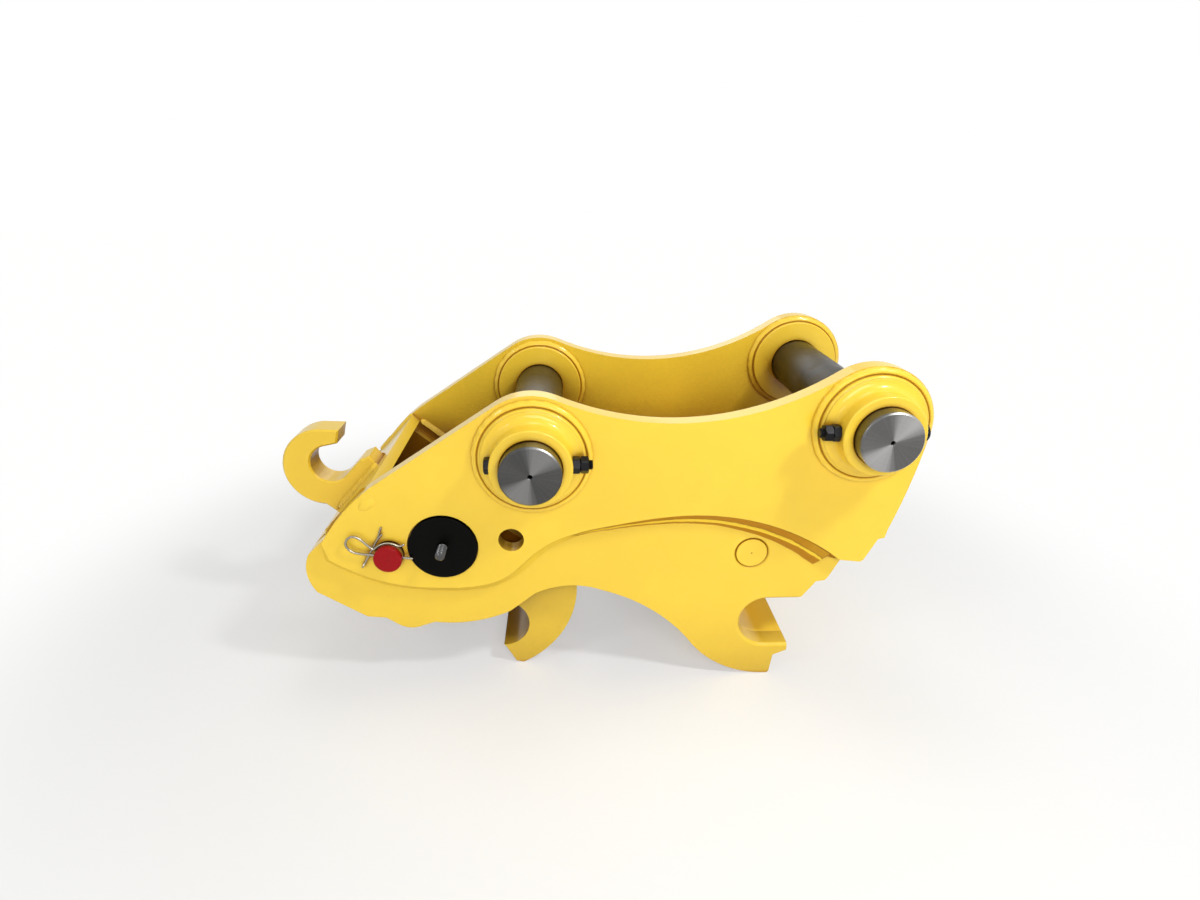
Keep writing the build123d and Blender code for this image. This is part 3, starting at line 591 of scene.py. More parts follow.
@dataclass(frozen=True)
class Paint:
    """Glossy sprayed paint on steel, rounded at its edges, with painted shade.

    Where ambient occlusion finds other surfaces near, the colour goes over to a painted shade colour of
    hollows and of the room between parts, and in tight creases to a painted shade colour of creases. A face
    that looks down also goes over to the creases' shade colour, as painted shade, as its downward share
    passes one span and its X passes another.
    """

    name: str
    colour: tuple[float, float, float]
    # The second and third colours are painted shade: the second in hollows and between parts, the third in
    # tight creases and on faces that look down.
    hollow_shade: tuple[float, float, float]
    crease_shade: tuple[float, float, float]
    roughness: float = 0.3
    coat: float = 0.32
    coat_roughness: float = 0.06
    specular: float = 0.28
    dusty: float = 0.08
    edge: float = 1.6 * MM
    wave: float = 0.35 * MM
    # Where painted shade falls: the reach of the occlusion for hollows and for creases, the span that maps
    # the creases' occlusion, and the downward share and X over which faces that look down take shade.
    hollow_shade_reach: float = 0.48
    joint: float = 0.014
    crease_shade_span: tuple[float, float] = (0.35, 0.9)
    downward_shade_span: tuple[float, float] = (0.9, 1.6)
    downward_shade_along: tuple[float, float] = (-2.0, -1.0)

    def build(self, groups: Groups) -> bpy.types.Material:
        """Builds the material."""
        material, n, shader, where = fresh_material(self.name)
        spray = place_group(n, groups.spray, vector=where)
        # Painted shade: the colour darkens towards the hollows' shade colour where ambient occlusion finds
        # other surfaces near, with random patches mixed in.
        hollow = n.add("ShaderNodeAmbientOcclusion", samples=10, distance=self.hollow_shade_reach)
        open_share = n.span(hollow.outputs["AO"], 0.16, 0.64)
        shade_and_patches = n.maths("ADD", n.maths("MULTIPLY", n.maths("POWER", open_share, 1.6), 0.93),
                       n.maths("MULTIPLY", spray.outputs["Patches"], 0.07))
        # Painted shade: tight creases and grooves go over to the creases' shade colour, by a short ambient
        # occlusion.
        joint = n.add("ShaderNodeAmbientOcclusion", samples=6, distance=self.joint)
        colour = n.blend(shade_and_patches, (*self.hollow_shade, 1), (*self.colour, 1))
        colour = n.blend(n.span(joint.outputs["AO"], *self.crease_shade_span), (*self.crease_shade, 1), colour)
        # Painted shade: faces that look down go over to the creases' shade colour, standing in for the shade
        # under edges and ledges.
        facing = n.vector("DOT_PRODUCT", n.add("ShaderNodeNewGeometry").outputs["Normal"], (0.0, 0.0, -1.0))
        along = n.add("ShaderNodeSeparateXYZ", vector=where).outputs["X"]
        under = n.maths("MULTIPLY", n.span(facing.node.outputs["Value"], *self.downward_shade_span),
                        n.span(along, *self.downward_shade_along))
        colour = n.blend(under, colour, (*self.crease_shade, 1))
        soft = n.add("ShaderNodeBevel", samples=4, radius=self.edge)
        bump = n.add("ShaderNodeBump", strength=1.0, distance=self.wave, height=spray.outputs["Height"],
                     normal=soft.outputs[0])
        n.put(shader, "Base Color", colour)
        n.put(shader, "Roughness", n.span(spray.outputs["Dust"], 0.0, 1.0, self.roughness,
                                          self.roughness + self.dusty))
        n.put(shader, "Normal", bump.outputs[0])
        n.put(shader, "Coat Weight", self.coat)
        n.put(shader, "Specular IOR Level", self.specular)
        n.put(shader, "Coat Roughness", self.coat_roughness)
        return material


@dataclass(frozen=True)
class TurnedPin:
    """Turned steel pin: bright lathe-marked ends with a painted sheen and painted shade in the centre mark,
    and a dark, oily, stained shaft between the plates.
    """

    name: str
    centre: tuple[float, float]
    bright: tuple[float, float, float]
    dark: tuple[float, float, float] = (0.016, 0.013, 0.008)
    stain: tuple[float, float, float] = (0.06, 0.048, 0.028)
    end_half: float = 317 * MM
    # Radii over which the painted shade in the drilled centre mark fades out.
    mark: tuple[float, float] = (2.5 * MM, 5.2 * MM)

    def build(self, groups: Groups) -> bpy.types.Material:
        """Builds the material."""
        material, n, shader, where = fresh_material(self.name)
        local = n.vector("SUBTRACT", where, (self.centre[0], 0.0, self.centre[1]))
        marks = place_group(n, groups.turned, vector=local)
        y = n.maths("ABSOLUTE", n.add("ShaderNodeSeparateXYZ", vector=local).outputs["Y"])
        end = n.span(y, self.end_half - 0.02, self.end_half)
        worn = n.span(marks.outputs["Stain"], 0.38, 0.62)
        shaft = n.blend(worn, (*self.dark, 1), (*self.stain, 1))
        ring = n.span(marks.outputs["Height"], 0.2, 0.8, 0.8, 1.1)
        # Painted sheen: the end faces are brightened up to 2.2 times in the group's sheen wedges.
        painted_sheen = n.span(marks.outputs["Sheen"], 0.0, 1.0, 0.72, 2.2)
        # Painted shade: inside the drilled centre mark the face colour falls to 3 per cent; the lathe rings
        # are the steel's own marks.
        rings_and_painted_light = n.maths("MULTIPLY", n.maths("MULTIPLY", ring, painted_sheen),
                        n.span(marks.outputs["Radius"], *self.mark, 0.03, 1.0))
        face = n.vector("SCALE", self.bright, (0, 0, 0))
        n.put(face.node, "Scale", rings_and_painted_light)
        n.put(shader, "Base Color", n.blend(end, shaft, face))
        n.put(shader, "Metallic", n.span(end, 0.0, 1.0, 0.85, 1.0))
        rough = n.span(worn, 0.0, 1.0, 0.34, 0.5)
        n.put(shader, "Roughness", n.maths("ADD", n.maths("MULTIPLY", rough, n.maths("SUBTRACT", 1.0, end)),
                                           n.maths("MULTIPLY", end, 0.3)))
        n.put(shader, "Anisotropic", 0.75)
        tangent = n.vector("CROSS_PRODUCT", local, (0.0, 1.0, 0.0))
        tangent = n.vector("NORMALIZE", tangent, (0, 0, 0))
        n.put(shader, "Tangent", tangent)
        bump = n.add("ShaderNodeBump", strength=0.5, distance=0.03 * MM, height=marks.outputs["Height"])
        n.put(shader, "Normal", bump.outputs[0])
        return material


@dataclass(frozen=True)
class Metal:
    """Plain metal with fine scratches and a mask of duller patches."""

    name: str
    colour: tuple[float, float, float]
    roughness: float = 0.3
    metallic: float = 1.0
    specular: float = 0.5
    patch: float = 0.12
    scratch: float = 0.02 * MM
    edge: float = 0.6 * MM

    def build(self, groups: Groups) -> bpy.types.Material:
        """Builds the material."""
        material, n, shader, where = fresh_material(self.name)
        spray = place_group(n, groups.spray, vector=where, wave=60.0, peel=900.0)
        dull = n.span(spray.outputs["Dust"], 0.0, 1.0, 1.0, 1.0 - self.patch)
        base = n.vector("SCALE", self.colour, (0, 0, 0))
        n.put(base.node, "Scale", dull)
        n.put(shader, "Base Color", base)
        n.put(shader, "Metallic", self.metallic)
        n.put(shader, "Specular IOR Level", self.specular)
        n.put(shader, "Roughness", n.span(spray.outputs["Patches"], 0.0, 1.0, self.roughness - 0.04,
                                          self.roughness + 0.08))
        soft = n.add("ShaderNodeBevel", samples=3, radius=self.edge)
        bump = n.add("ShaderNodeBump", strength=0.6, distance=self.scratch, height=spray.outputs["Height"],
                     normal=soft.outputs[0])
        n.put(shader, "Normal", bump.outputs[0])
        return material


Finish = Paint | TurnedPin | Metal


@dataclass
class Finishes:
    """Every finish of the coupler, built once and looked up by name."""

    groups: Groups = field(default_factory=Groups)
    made: dict[str, bpy.types.Material] = field(default_factory=dict)

    def get(self, finish: Finish) -> bpy.types.Material:
        """Builds a finish the first time it is asked for."""
        if finish.name not in self.made:
            self.made[finish.name] = finish.build(self.groups)
        return self.made[finish.name]


# The second and third colour of each paint are painted shade: in hollows and between parts, and in creases.
YELLOW = Paint("machine_yellow", (0.97, 0.66, 0.05), (0.17, 0.05, 0.001), (0.45, 0.2, 0.007))
# Seam paint: darker painted shade in creases, less gloss, and painted shade on faces that look down where X
# is past 20 mm, which darkens the seam's bevelled bands.
SEAM_YELLOW = Paint("seam_yellow", YELLOW.colour, YELLOW.hollow_shade, (0.5, 0.215, 0.003), coat=0.1,
                    specular=0.08, downward_shade_span=(0.08, 0.4), downward_shade_along=(20 * MM, 200 * MM))
# Jaw paint: lighter and shorter-reaching painted shade, for the jaw's saddle and the hook's toe plate.
JAW_YELLOW = Paint("jaw_yellow", YELLOW.colour, (0.6, 0.3, 0.01), (0.5, 0.24, 0.008), hollow_shade_reach=0.1)
RED = Paint("cap_red", (0.34, 0.004, 0.007), (0.2, 0.003, 0.005), (0.08, 0.001, 0.002), roughness=0.36,
            coat=0.12, specular=0.08, edge=0.5 * MM, wave=0.05 * MM)
BLACK = Paint("cap_black", (0.0025, 0.0025, 0.0022), (0.001, 0.001, 0.001), (0.0, 0.0, 0.0), roughness=0.4,
              coat=0.0, specular=0.05, edge=0.6 * MM, wave=0.05 * MM)
OXIDE = Metal("black_oxide", (0.012, 0.012, 0.013), roughness=0.3, metallic=0.6, specular=0.2)
STUD_STEEL = Metal("stud_steel", (0.10, 0.10, 0.10), roughness=0.22, edge=0.1 * MM)
BRONZE = Metal("bush_bronze", (0.62, 0.42, 0.17), roughness=0.34)
PLATED = Metal("plated_wire", (0.36, 0.33, 0.27), roughness=0.24, scratch=0.01 * MM)
ROD_STEEL = Metal("pin_rod_steel", (0.52, 0.48, 0.40), roughness=0.3)
CHROME = Metal("rod_chrome", (0.78, 0.78, 0.79), roughness=0.08, patch=0.03, scratch=0.004 * MM)
DARK_STEEL = Metal("hinge_steel", (0.30, 0.285, 0.26), roughness=0.38)
SLOT_FINISHES = {Slot.YELLOW: YELLOW, Slot.PIN: DARK_STEEL, Slot.OXIDE: OXIDE, Slot.BLACK: BLACK,
                 Slot.BRONZE: BRONZE, Slot.PLATED: PLATED, Slot.CHROME: CHROME, Slot.RED: RED}


# Sub-assemblies

PIN_CENTRES = {"arm": (0.0, 0.0), "link": (669.58 * MM, 62.59 * MM)}
HINGE = (-190.0 * MM, -200.0 * MM)
SAFETY = (-300.0 * MM, -215.7 * MM)
PLAIN_HOLE = (-48.0 * MM, -186.0 * MM)
ANCHOR = (466.0 * MM, -237.0 * MM)
PLATE_IN = 223.5 * MM
PLATE_OUT = 258.5 * MM
HOOK_OUT = 238.5 * MM


@dataclass
class Workshop:
    """What every class needs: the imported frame, the finishes, and calls that dress and hang pieces."""

    frame: dict
    finishes: Finishes

    def dress(self, name: str, finish: Finish) -> None:
        """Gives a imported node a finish."""
        node = self.frame["nodes"][name]
        node.data.materials.clear()
        node.data.materials.append(self.finishes.get(finish))
        LOG.info("dressed %s in %s", name, finish.name)

    def hang(self, name: str, shells: Sequence[Shell], body: Body, finish: Finish,
             stands_for: Sequence[str] = ()) -> bpy.types.Object:
        """Makes a new piece, finishes it and lets it ride on its body.

        Args:
            name: name of the piece.
            shells: its surfaces.
            body: the body that carries it.
            finish: its finish.
            stands_for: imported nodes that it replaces.

        Returns:
            The new object.
        """
        piece = solid_object(name, shells)
        piece.data.materials.append(self.finishes.get(finish))
        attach(piece, body.value)
        if stands_for:
            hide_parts(*stands_for)
        LOG.info("built %s: %d faces", name, len(piece.data.polygons))
        return piece


@dataclass
class PinBosses:
    """Bosses that hold the arm pin and the link pin, with their inner bosses and weld rings.

    The radii in outer_rounding and inner_rounding are one for each inner corner of the profile.
    """

    bore: float = 60.7 * MM
    collar: float = 80.5 * MM
    collar_half: float = 320 * MM
    hub: float = 92 * MM
    flange: float = 107 * MM
    flange_t: float = 16 * MM
    weld: float = 14 * MM
    weld_height: float = 9.5 * MM
    gap_half: float = 207.5 * MM
    sink: float = 1 * MM
    ripples: int = 170
    ripple: float = 0.3 * MM
    uneven: float = 0.9 * MM
    outer_rounding: tuple[float, ...] = (
        2.2 * MM, 3.4 * MM, 20 * MM, 8.5 * MM, 0.5 * MM, 4 * MM, 5 * MM, 0, 0)
    inner_rounding: tuple[float, ...] = (1.5 * MM, 3 * MM, 0.5 * MM, 4 * MM, 5 * MM, 0)
    segments: int = 200

    def outer_profile(self) -> Array:
        """Line of the outer boss: bore, collar, hollow, flange, groove and weld, as (radius, y)."""
        top = PLATE_OUT + self.flange_t
        foot = PLATE_OUT - self.sink
        corners = [(self.bore, PLATE_IN), (self.bore, self.collar_half), (self.collar, self.collar_half),
                   (self.collar, top - 1.5 * MM), (self.flange, top + 0.5 * MM),
                   (self.flange, PLATE_OUT + 0.68 * self.weld_height),
                   (self.flange + 0.35 * self.weld, PLATE_OUT + 1.15 * self.weld_height),
                   (self.flange + 0.85 * self.weld, PLATE_OUT + 0.6 * self.weld_height),
                   (self.flange + self.weld, foot), (self.hub, foot), (self.hub, PLATE_IN)]
        return rounded(corners, self.outer_rounding, 9)

    def inner_profile(self) -> Array:
        """Line of the inner boss that the arm or link runs against, as (radius, y)."""
        foot = PLATE_IN + self.sink
        corners = [(self.bore, PLATE_IN), (self.bore, self.gap_half), (self.flange, self.gap_half),
                   (self.flange, PLATE_IN - 0.7 * self.weld_height),
                   (self.flange + 0.3 * self.weld, PLATE_IN - self.weld_height),
                   (self.flange + 0.85 * self.weld, PLATE_IN - 0.5 * self.weld_height),
                   (self.flange + self.weld, foot), (self.flange, foot)]
        return rounded(corners, self.inner_rounding, 8)

    def weld_waves(self, shell: Shell, centre: tuple[float, float], seed: int) -> Shell:
        """Adds ripples to the ring outside the flange.

        The width of the ring changes by a slow uneven wave and by crescents of one ripple each. The change
        is nothing at the flange and fades out at the ring's foot.

        Args:
            shell: the boss.
            centre: X and Z of its axis.
            seed: seed of its unevenness.

        Returns:
            The boss with its weld.
        """
        dx, dz = shell.points[:, 0] - centre[0], shell.points[:, 2] - centre[1]
        r, t = np.hypot(dx, dz), np.arctan2(dz, dx)
        share = np.clip((r - self.flange) / self.weld, 0, 1)
        crescents = self.ripple * np.sin(t * self.ripples - 2.5 * share)
        grow = share * (self.uneven * waves(12 * np.cos(t) + 9 * np.sin(t), seed) + crescents)
        scale = (r + grow) / np.maximum(r, 1e-6)
        points = shell.points.copy()
        points[:, 0] = centre[0] + dx * scale
        points[:, 2] = centre[1] + dz * scale
        return Shell(points, shell.quads)

    def build(self, shop: Workshop) -> None:
        """Builds the eight bosses."""
        seed = 0
        for side in Side:
            for place, centre in PIN_CENTRES.items():
                for kind, profile in (("pin", self.outer_profile()), ("inner", self.inner_profile())):
                    seed += 1
                    node = f"{side.name.lower()}_{place}_{kind}_boss"
                    shell = turned(profile * np.array([1, side.value]), centre, self.segments)
                    welded = self.weld_waves(shell, centre, seed)
                    shop.hang(f"{node}_turned", [welded], Body.FRAME, YELLOW, [node])


@dataclass
class Pins:
    """The arm pin and the link pin, and the cylinder's anchor bar, with drilled centre marks."""

    radius: float = 60 * MM
    half: float = 350 * MM
    chamfer: float = 3 * MM
    mark: float = 5 * MM
    bar_radius: float = 33.5 * MM
    bar_mark: float = 2 * MM
    greys: tuple[float, float] = (0.115, 0.2)

    def profile(self, radius: float, half: float, chamfer: float, mark: float) -> Array:
        """Line of a round bar from end to end, as (radius, y): centre mark, face, chamfer and side."""
        end = [(0.0, half - 1.4 * mark), (0.3 * mark, half - mark), (mark, half), (radius - chamfer, half),
               (radius, half - chamfer)]
        corners = end + [(r, -y) for r, y in reversed(end)]
        return rounded(corners, [0, 0.1 * mark, 0.5 * MM, 0.5 * MM, 0.5 * MM, 0.5 * MM, 0.1 * mark, 0], 4)

    def build(self, shop: Workshop) -> None:
        """Builds both pins and the bar."""
        line = self.profile(self.radius, self.half, self.chamfer, self.mark)
        for (place, centre), grey in zip(PIN_CENTRES.items(), self.greys):
            finish = TurnedPin(f"turned_{place}_pin", centre, (grey, 0.985 * grey, 0.965 * grey))
            shop.hang(f"{place}_pin_turned", [turned(line, centre, 192, closed=False)], Body.FRAME,
                      finish, [f"{place}_pin"])
        line = self.profile(self.bar_radius, HOOK_OUT, 1.2 * MM, self.bar_mark)
        shop.hang("anchor_bar_turned", [turned(line, ANCHOR, 128, closed=False)], Body.FRAME,
                  YELLOW, ["cylinder_anchor_bar"])


@dataclass
class LockBolts:
    """Through bolts that lock the pins, each with a hexagon head and two nuts."""

    across: float = 30 * MM
    radius: float = 10 * MM
    pitch: float = 2.5 * MM
    seat: float = 78.5 * MM
    head: float = 12.5 * MM
    nut: float = 16 * MM
    nut_gap: float = 0.1 * MM
    tip: float = 8 * MM
    width: float = -295 * MM
    smooth: float = 120 * MM
    sink: float = 1 * MM
    second_turn: float = 17.0

    def build(self, shop: Workshop) -> None:
        """Builds the two bolts as one piece and the four nuts as another."""
        bolts, nuts = [], []
        for (place, centre), way in zip(PIN_CENTRES.items(), (1, -1)):
            axes = ((0, 0, 1), (0, -way, 0), (way, 0, 0))

            def at(distance: float) -> tuple[float, float, float]:
                """Point on the bolt's axis at a distance from the pin's axis."""
                return centre[0] + way * distance, self.width, centre[1]

            length = 2 * self.seat + 2 * self.nut + self.tip + self.sink
            shank = threaded(self.radius, length, self.pitch, self.smooth)
            bolts.append(shank.placed(at(-self.seat - self.sink), *axes))
            head = hexagon(self.across, self.head, 0.0, (True, False))
            bolts.append(head.placed(at(-self.seat - self.head), *axes))
            for number in range(2):
                turn = np.radians(self.second_turn * number)
                x = (0, -way * np.sin(turn), np.cos(turn))
                y = (0, -way * np.cos(turn), -np.sin(turn))
                start = self.seat + number * (self.nut + self.nut_gap)
                nut = hexagon(self.across, self.nut, self.radius, (True, True))
                nuts.append(nut.placed(at(start), x, y, axes[2]))
        shop.hang("lock_bolts_threaded", bolts, Body.FRAME, OXIDE, ["pin_lock_bolts"])
        shop.hang("lock_nuts_chamfered", nuts, Body.FRAME, OXIDE, ["pin_lock_nuts"])


@dataclass
class HingeCaps:
    """Black discs over the ends of the hook's hinge pin, held on threaded studs."""

    radius: float = 71.2 * MM
    drop: float = 1.2 * MM
    low: float = 248.6 * MM
    high: float = 262.5 * MM
    edge: float = 1.6 * MM
    hole_gap: float = 0.3 * MM
    hole_edge: float = 0.8 * MM
    stud: float = 10 * MM
    stud_low: float = 240 * MM
    stud_high: float = 300.5 * MM
    pitch: float = 5.0 * MM

    def build(self, shop: Workshop) -> None:
        """Builds both discs and both studs."""
        studs = []
        for side in Side:
            hole = self.stud + self.hole_gap
            corners = [(hole, self.low), (hole, self.high), (self.radius, self.high), (self.radius, self.low)]
            line = rounded(corners, [self.hole_edge, self.edge], 6) * np.array([1, side.value])
            centre = (HINGE[0], HINGE[1] - self.drop)
            node = f"{side.name.lower()}_hinge_cap"
            shop.hang(f"{node}_rounded", [turned(line, centre, 160)], Body.FRAME, BLACK, [node])
            stud = threaded(self.stud, self.stud_high - self.stud_low, self.pitch)
            studs.append(stud.placed((HINGE[0], side.value * self.stud_low, HINGE[1]), (1, 0, 0),
                                     (0, 0, -side.value), (0, side.value, 0)))
        shop.hang("hinge_studs_threaded", studs, Body.FRAME, STUD_STEEL, ["hinge_studs"])


@dataclass
class SafetySet:
    """Red cap of the parked safety pin, its spring clip and the split cotter beside it."""

    cap_radius: float = 28.9 * MM
    cap_low: float = 271 * MM
    cap_high: float = 283.5 * MM
    cap_edge: float = 2.2 * MM
    cap_dot: float = 1.6 * MM
    clip_y: float = -268 * MM
    clip_slope: float = -6.6
    clip_wire: float = 2.4 * MM
    clip_points: tuple[tuple[float, float], ...] = (
        (47, 0), (30, 0), (-10, 0), (-45, 0), (-60, 0.5), (-73, 3), (-83, 9.5), (-88, 20), (-85.5, 31),
        (-77, 38.5), (-67, 38.5), (-58, 33.5), (-47, 24.5), (-37, 16), (-31.5, 13.6), (-27.5, 17.4),
        (-22, 22.6), (-14, 27.8), (-3, 31), (8, 30), (16.5, 27), (23, 27), (29, 31))
    cotter_slope: float = 60.5
    cotter_wire: float = 1.9 * MM
    cotter_side: float = 37 * MM

    def cap(self, shop: Workshop) -> None:
        """Builds the red cap: a disc with a rounded rim, slightly dished, with a dot at its centre."""
        face = self.cap_high
        corners = [(0.0, face - 2.4 * MM), (self.cap_dot, face - 0.6 * MM),
                   (3 * self.cap_dot, face - 0.4 * MM),
                   (0.86 * self.cap_radius, face - 0.2 * MM), (self.cap_radius, face),
                   (self.cap_radius, self.cap_low), (0.0, self.cap_low)]
        line = rounded(corners, [0.3 * MM, 1 * MM, 1 * MM, self.cap_edge, 1 * MM], 6) * np.array([1, -1])
        disc = turned(line, SAFETY, 128, closed=False)
        shop.hang("safety_pin_cap_rounded", [disc], Body.SAFETY_PIN, RED, ["safety_pin_cap"])

    def clip(self, shop: Workshop) -> None:
        """Builds the spring clip: one smooth wire, straight leg, round eye, and a leg bent over the pin."""
        slope = np.radians(self.clip_slope)
        u, v = (np.array(self.clip_points) * MM).T
        x = SAFETY[0] + u * np.cos(slope) - v * np.sin(slope)
        z = SAFETY[1] + u * np.sin(slope) + v * np.cos(slope)
        line = smooth_line(np.stack([x, 0 * x + self.clip_y, z], axis=1), 1.2 * MM)
        bent = wire(line, self.clip_wire, (0, 1, 0))
        shop.hang("safety_clip_wire", [bent], Body.CLIP, PLATED, ["safety_clip"])

    def cotter(self, shop: Workshop) -> None:
        """Builds the split cotter: two legs one over the other, an eye seen edge on, and spread ends."""
        slope = np.radians(self.cotter_slope)
        along = np.array([np.cos(slope), 0, np.sin(slope)])
        aside = np.array([-np.sin(slope), 0, np.cos(slope)])
        low, high = PLATE_OUT + self.cotter_wire + 0.1 * MM, PLATE_OUT + 3.1 * self.cotter_wire + 0.4 * MM
        rows = [(49, 4.5, low), (36, 2.2, low), (24, 0.2, low), (10, 0, low), (-25, 0, low), (-38, 0, low),
                (-42, 0, low - 0.4 * MM), (-48, 0, low + 0.6 * MM), (-52, 0, low + 4.5 * MM),
                (-48, 0, low + 8.6 * MM), (-42, 0, high + 1.2 * MM), (-38, 0, high),
                (-25, 0, high), (10, 0, high), (22, -0.3, high),
                (30, -1.6, high), (38, -3.4, high)]
        line = [np.array([SAFETY[0], -y, SAFETY[1]]) + along * u * MM + aside * (self.cotter_side + v * MM)
                for u, v, y in rows]
        bent = wire(smooth_line(line, 1.2 * MM), self.cotter_wire, aside, 12)
        shop.hang("safety_cotter_wire", [bent], Body.CLIP, PLATED, ["safety_cotter"])

    def build(self, shop: Workshop) -> None:
        """Builds the cap, the clip and the cotter."""
        self.cap(shop)
        self.clip(shop)
        self.cotter(shop)


@dataclass
class SeamWelds:
    """Weld along the side plate's lower edge, with the bevelled ledge that runs under it in front."""

    ledge_t: float = 10 * MM
    face_h: float = 19.7 * MM
    ramp_t: float = 14 * MM
    ramp: float = 21 * MM
    blunt: float = 26 * MM
    stop: float = 6 * MM
    start: float = 2 * MM
    nose_run: float = 40 * MM
    step: float = 2 * MM
    ledge_at: tuple[float, ...] = (90 * MM, 180 * MM, 370 * MM, 520 * MM, 620 * MM)
    weld_width: tuple[float, ...] = (5 * MM, 5.5 * MM, 6 * MM, 7.5 * MM, 12 * MM)
    face_width: tuple[float, ...] = (4 * MM, 7.5 * MM, 15.5 * MM, 19 * MM, 15 * MM)
    rim_width: tuple[float, ...] = (6 * MM, 8 * MM, 10 * MM, 14 * MM, 20 * MM)
    change: tuple[float, float] = (30 * MM, 150 * MM)
    rear_end: float = -427.8 * MM
    belly_end: float = -200 * MM
    front_end: float = 651.5 * MM
    below: tuple[float, float, float] = (-189 * MM, -215 * MM, -110 * MM)
    clear_of: tuple[tuple[tuple[float, float], float], ...] = (
        (HINGE, 76 * MM), (PLAIN_HOLE, 29 * MM), (SAFETY, 34 * MM))

    def edge_line(self, shop: Workshop, side: Side) -> Array:
        """Finds a side plate's lower edge between the nose and the front corner.

        It is made of the corners of the plate's mesh on its outer face, without those round its holes, that
        lie lower than a level which changes with X.

        Args:
            shop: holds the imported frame.
            side: side of the plate.

        Returns:
            Array of (x, z) at even steps.
        """
        mesh = shop.frame["nodes"][f"{side.name.lower()}_side_plate"].data
        points = np.empty(len(mesh.vertices) * 3, np.float32)
        mesh.vertices.foreach_get("co", points)
        points = points.reshape(-1, 3).astype(float)
        flat = points[np.abs(points[:, 1] * side.value - PLATE_OUT) < 0.1 * MM][:, [0, 2]]
        for centre, radius in self.clear_of:
            flat = flat[np.hypot(*(flat - centre).T) > radius]
        x, z = flat.T
        low = np.where(x < self.rear_end, self.below[0], np.where(x < self.belly_end, *self.below[1:]))
        keep = (x < self.front_end) & (z < low)
        line = np.unique(np.round(flat[keep], 6), axis=0)
        return even_steps(line[np.argsort(line[:, 0])], self.step)

    def ledge(self, line: Array, run: Array, q: Array) -> tuple[Array, Array]:
        """Section of the seam in front: weld, level face and bevelled rim.

        Args:
            line: points of the plate's edge.
            run: length along the edge to each point.
            q: place across the section, from 0 at the plate to 1 at the foot.

        Returns:
            Distance from the plate's edge and height over the hook plate, one row for each point.
        """
        places = (0, 0.06, 0.18, 0.3, 0.58, 0.66, 0.8, 0.94, 1)
        past_end = (run > run[-1] - self.blunt)[:, None]
        weld, face, rim = (np.interp(line[:, :1], self.ledge_at, widths)
                           for widths in (self.weld_width, self.face_width, self.rim_width))
        face = np.where(past_end, 0.5 * MM, face)
        rim = np.where(past_end, 0.5 * MM, rim)
        thick = np.where(past_end, 0.4 * MM, self.ledge_t)
        d = (np.interp(q, places, (-2 * MM, 0, 0, 0, 0, 0, 0, 0, 0))
             + np.interp(q, places, (0, 0, 0.45, 1, 1, 1, 1, 1, 1)) * weld
             + np.interp(q, places, (0, 0, 0, 0, 1, 1, 1, 1, 1)) * face
             + np.interp(q, places, (0, 0, 0, 0, 0, 0.1, 0.5, 1, 1.03)) * rim)
        h = (np.interp(q, places, (1, 1, 0.5, 0.02, 0, 0, 0, 0, 0)) * (self.face_h - thick)
             + np.interp(q, places, (1, 1, 1, 1, 0.98, 0.92, 0.52, 0.03, -0.06)) * thick)
        return d, h

    def build(self, shop: Workshop) -> None:
        """Builds both seams.

        Across the section a number q goes from 0 at the plate to 1 at the foot. In front the section is
        that of the ledge. At the rear the height falls as (1 - d / width) to the power 1.5, a hollow ramp.
        Between the two, the section changes evenly, so the ledge grows out of the weld.
        """
        q = np.linspace(0, 1, 34)[None]
        for side in Side:
            line = self.edge_line(shop, side)
            run = np.concatenate([[0], np.cumsum(np.linalg.norm(np.diff(line, axis=0), axis=1))])
            tangent = np.gradient(line, axis=0)
            kernel = np.ones(9) / 9
            smoothed = [np.convolve(np.pad(part, 4, "edge"), kernel, "valid") for part in tangent.T]
            tangent = np.stack(smoothed, axis=1)
            normal = unit(np.stack([tangent[:, 1], -tangent[:, 0]], axis=1))
            ledge_d, ledge_h = self.ledge(line, run, q)
            fall = np.interp(q, (0, 0.06, 1), (0, 0, 1))
            narrow = np.clip(run / self.nose_run, 0.12, 1)[:, None]
            ramp_d = np.interp(q, (0, 0.06), (-2 * MM, 0)) + fall * self.ramp * narrow
            ramp_h = self.ramp_t * (1 - fall) ** 1.5 - 0.8 * MM
            share = np.clip((line[:, :1] - self.change[0]) / (self.change[1] - self.change[0]), 0, 1)
            share = share * share * (3 - 2 * share)
            s = run[:, None]
            middle = np.sin(np.pi * q)
            crescents = 0.28 * MM * np.sin(s / (4.4 * MM) * 2 * np.pi - 4 * q) * middle * (1 - share)
            wander = 0.6 * MM * waves(s / (20 * MM), 3) * np.clip(q * 2, 0, 1)
            swell = 0.35 * MM * waves(s / (14 * MM), 4) * middle
            d = ramp_d * (1 - share) + ledge_d * share + wander
            h = ramp_h * (1 - share) + ledge_h * share + swell + crescents
            points = np.stack([line[:, :1] + normal[:, :1] * d, side.value * (HOOK_OUT + h),
                               line[:, 1:] + normal[:, 1:] * d], axis=-1)
            points = points[(run > self.start) & (run < run[-1] - self.stop)]
            cap = points.mean(axis=1, keepdims=True) + 0 * points
            shell = grid(np.concatenate([cap[:1], points, cap[-1:]]), loop_v=True)
            node = f"{side.name.lower()}_seam_weld"
            shop.hang(f"{node}_bead", [shell], Body.FRAME, SEAM_YELLOW, [node])


@dataclass(frozen=True)
class Corner:
    """Line where two faces meet, in the side view or along Y, with the two directions off it."""

    points: tuple[tuple[float, float, float], ...]
    first: tuple[float, float, float]
    second: tuple[float, float, float]
    leg: float = 7 * MM


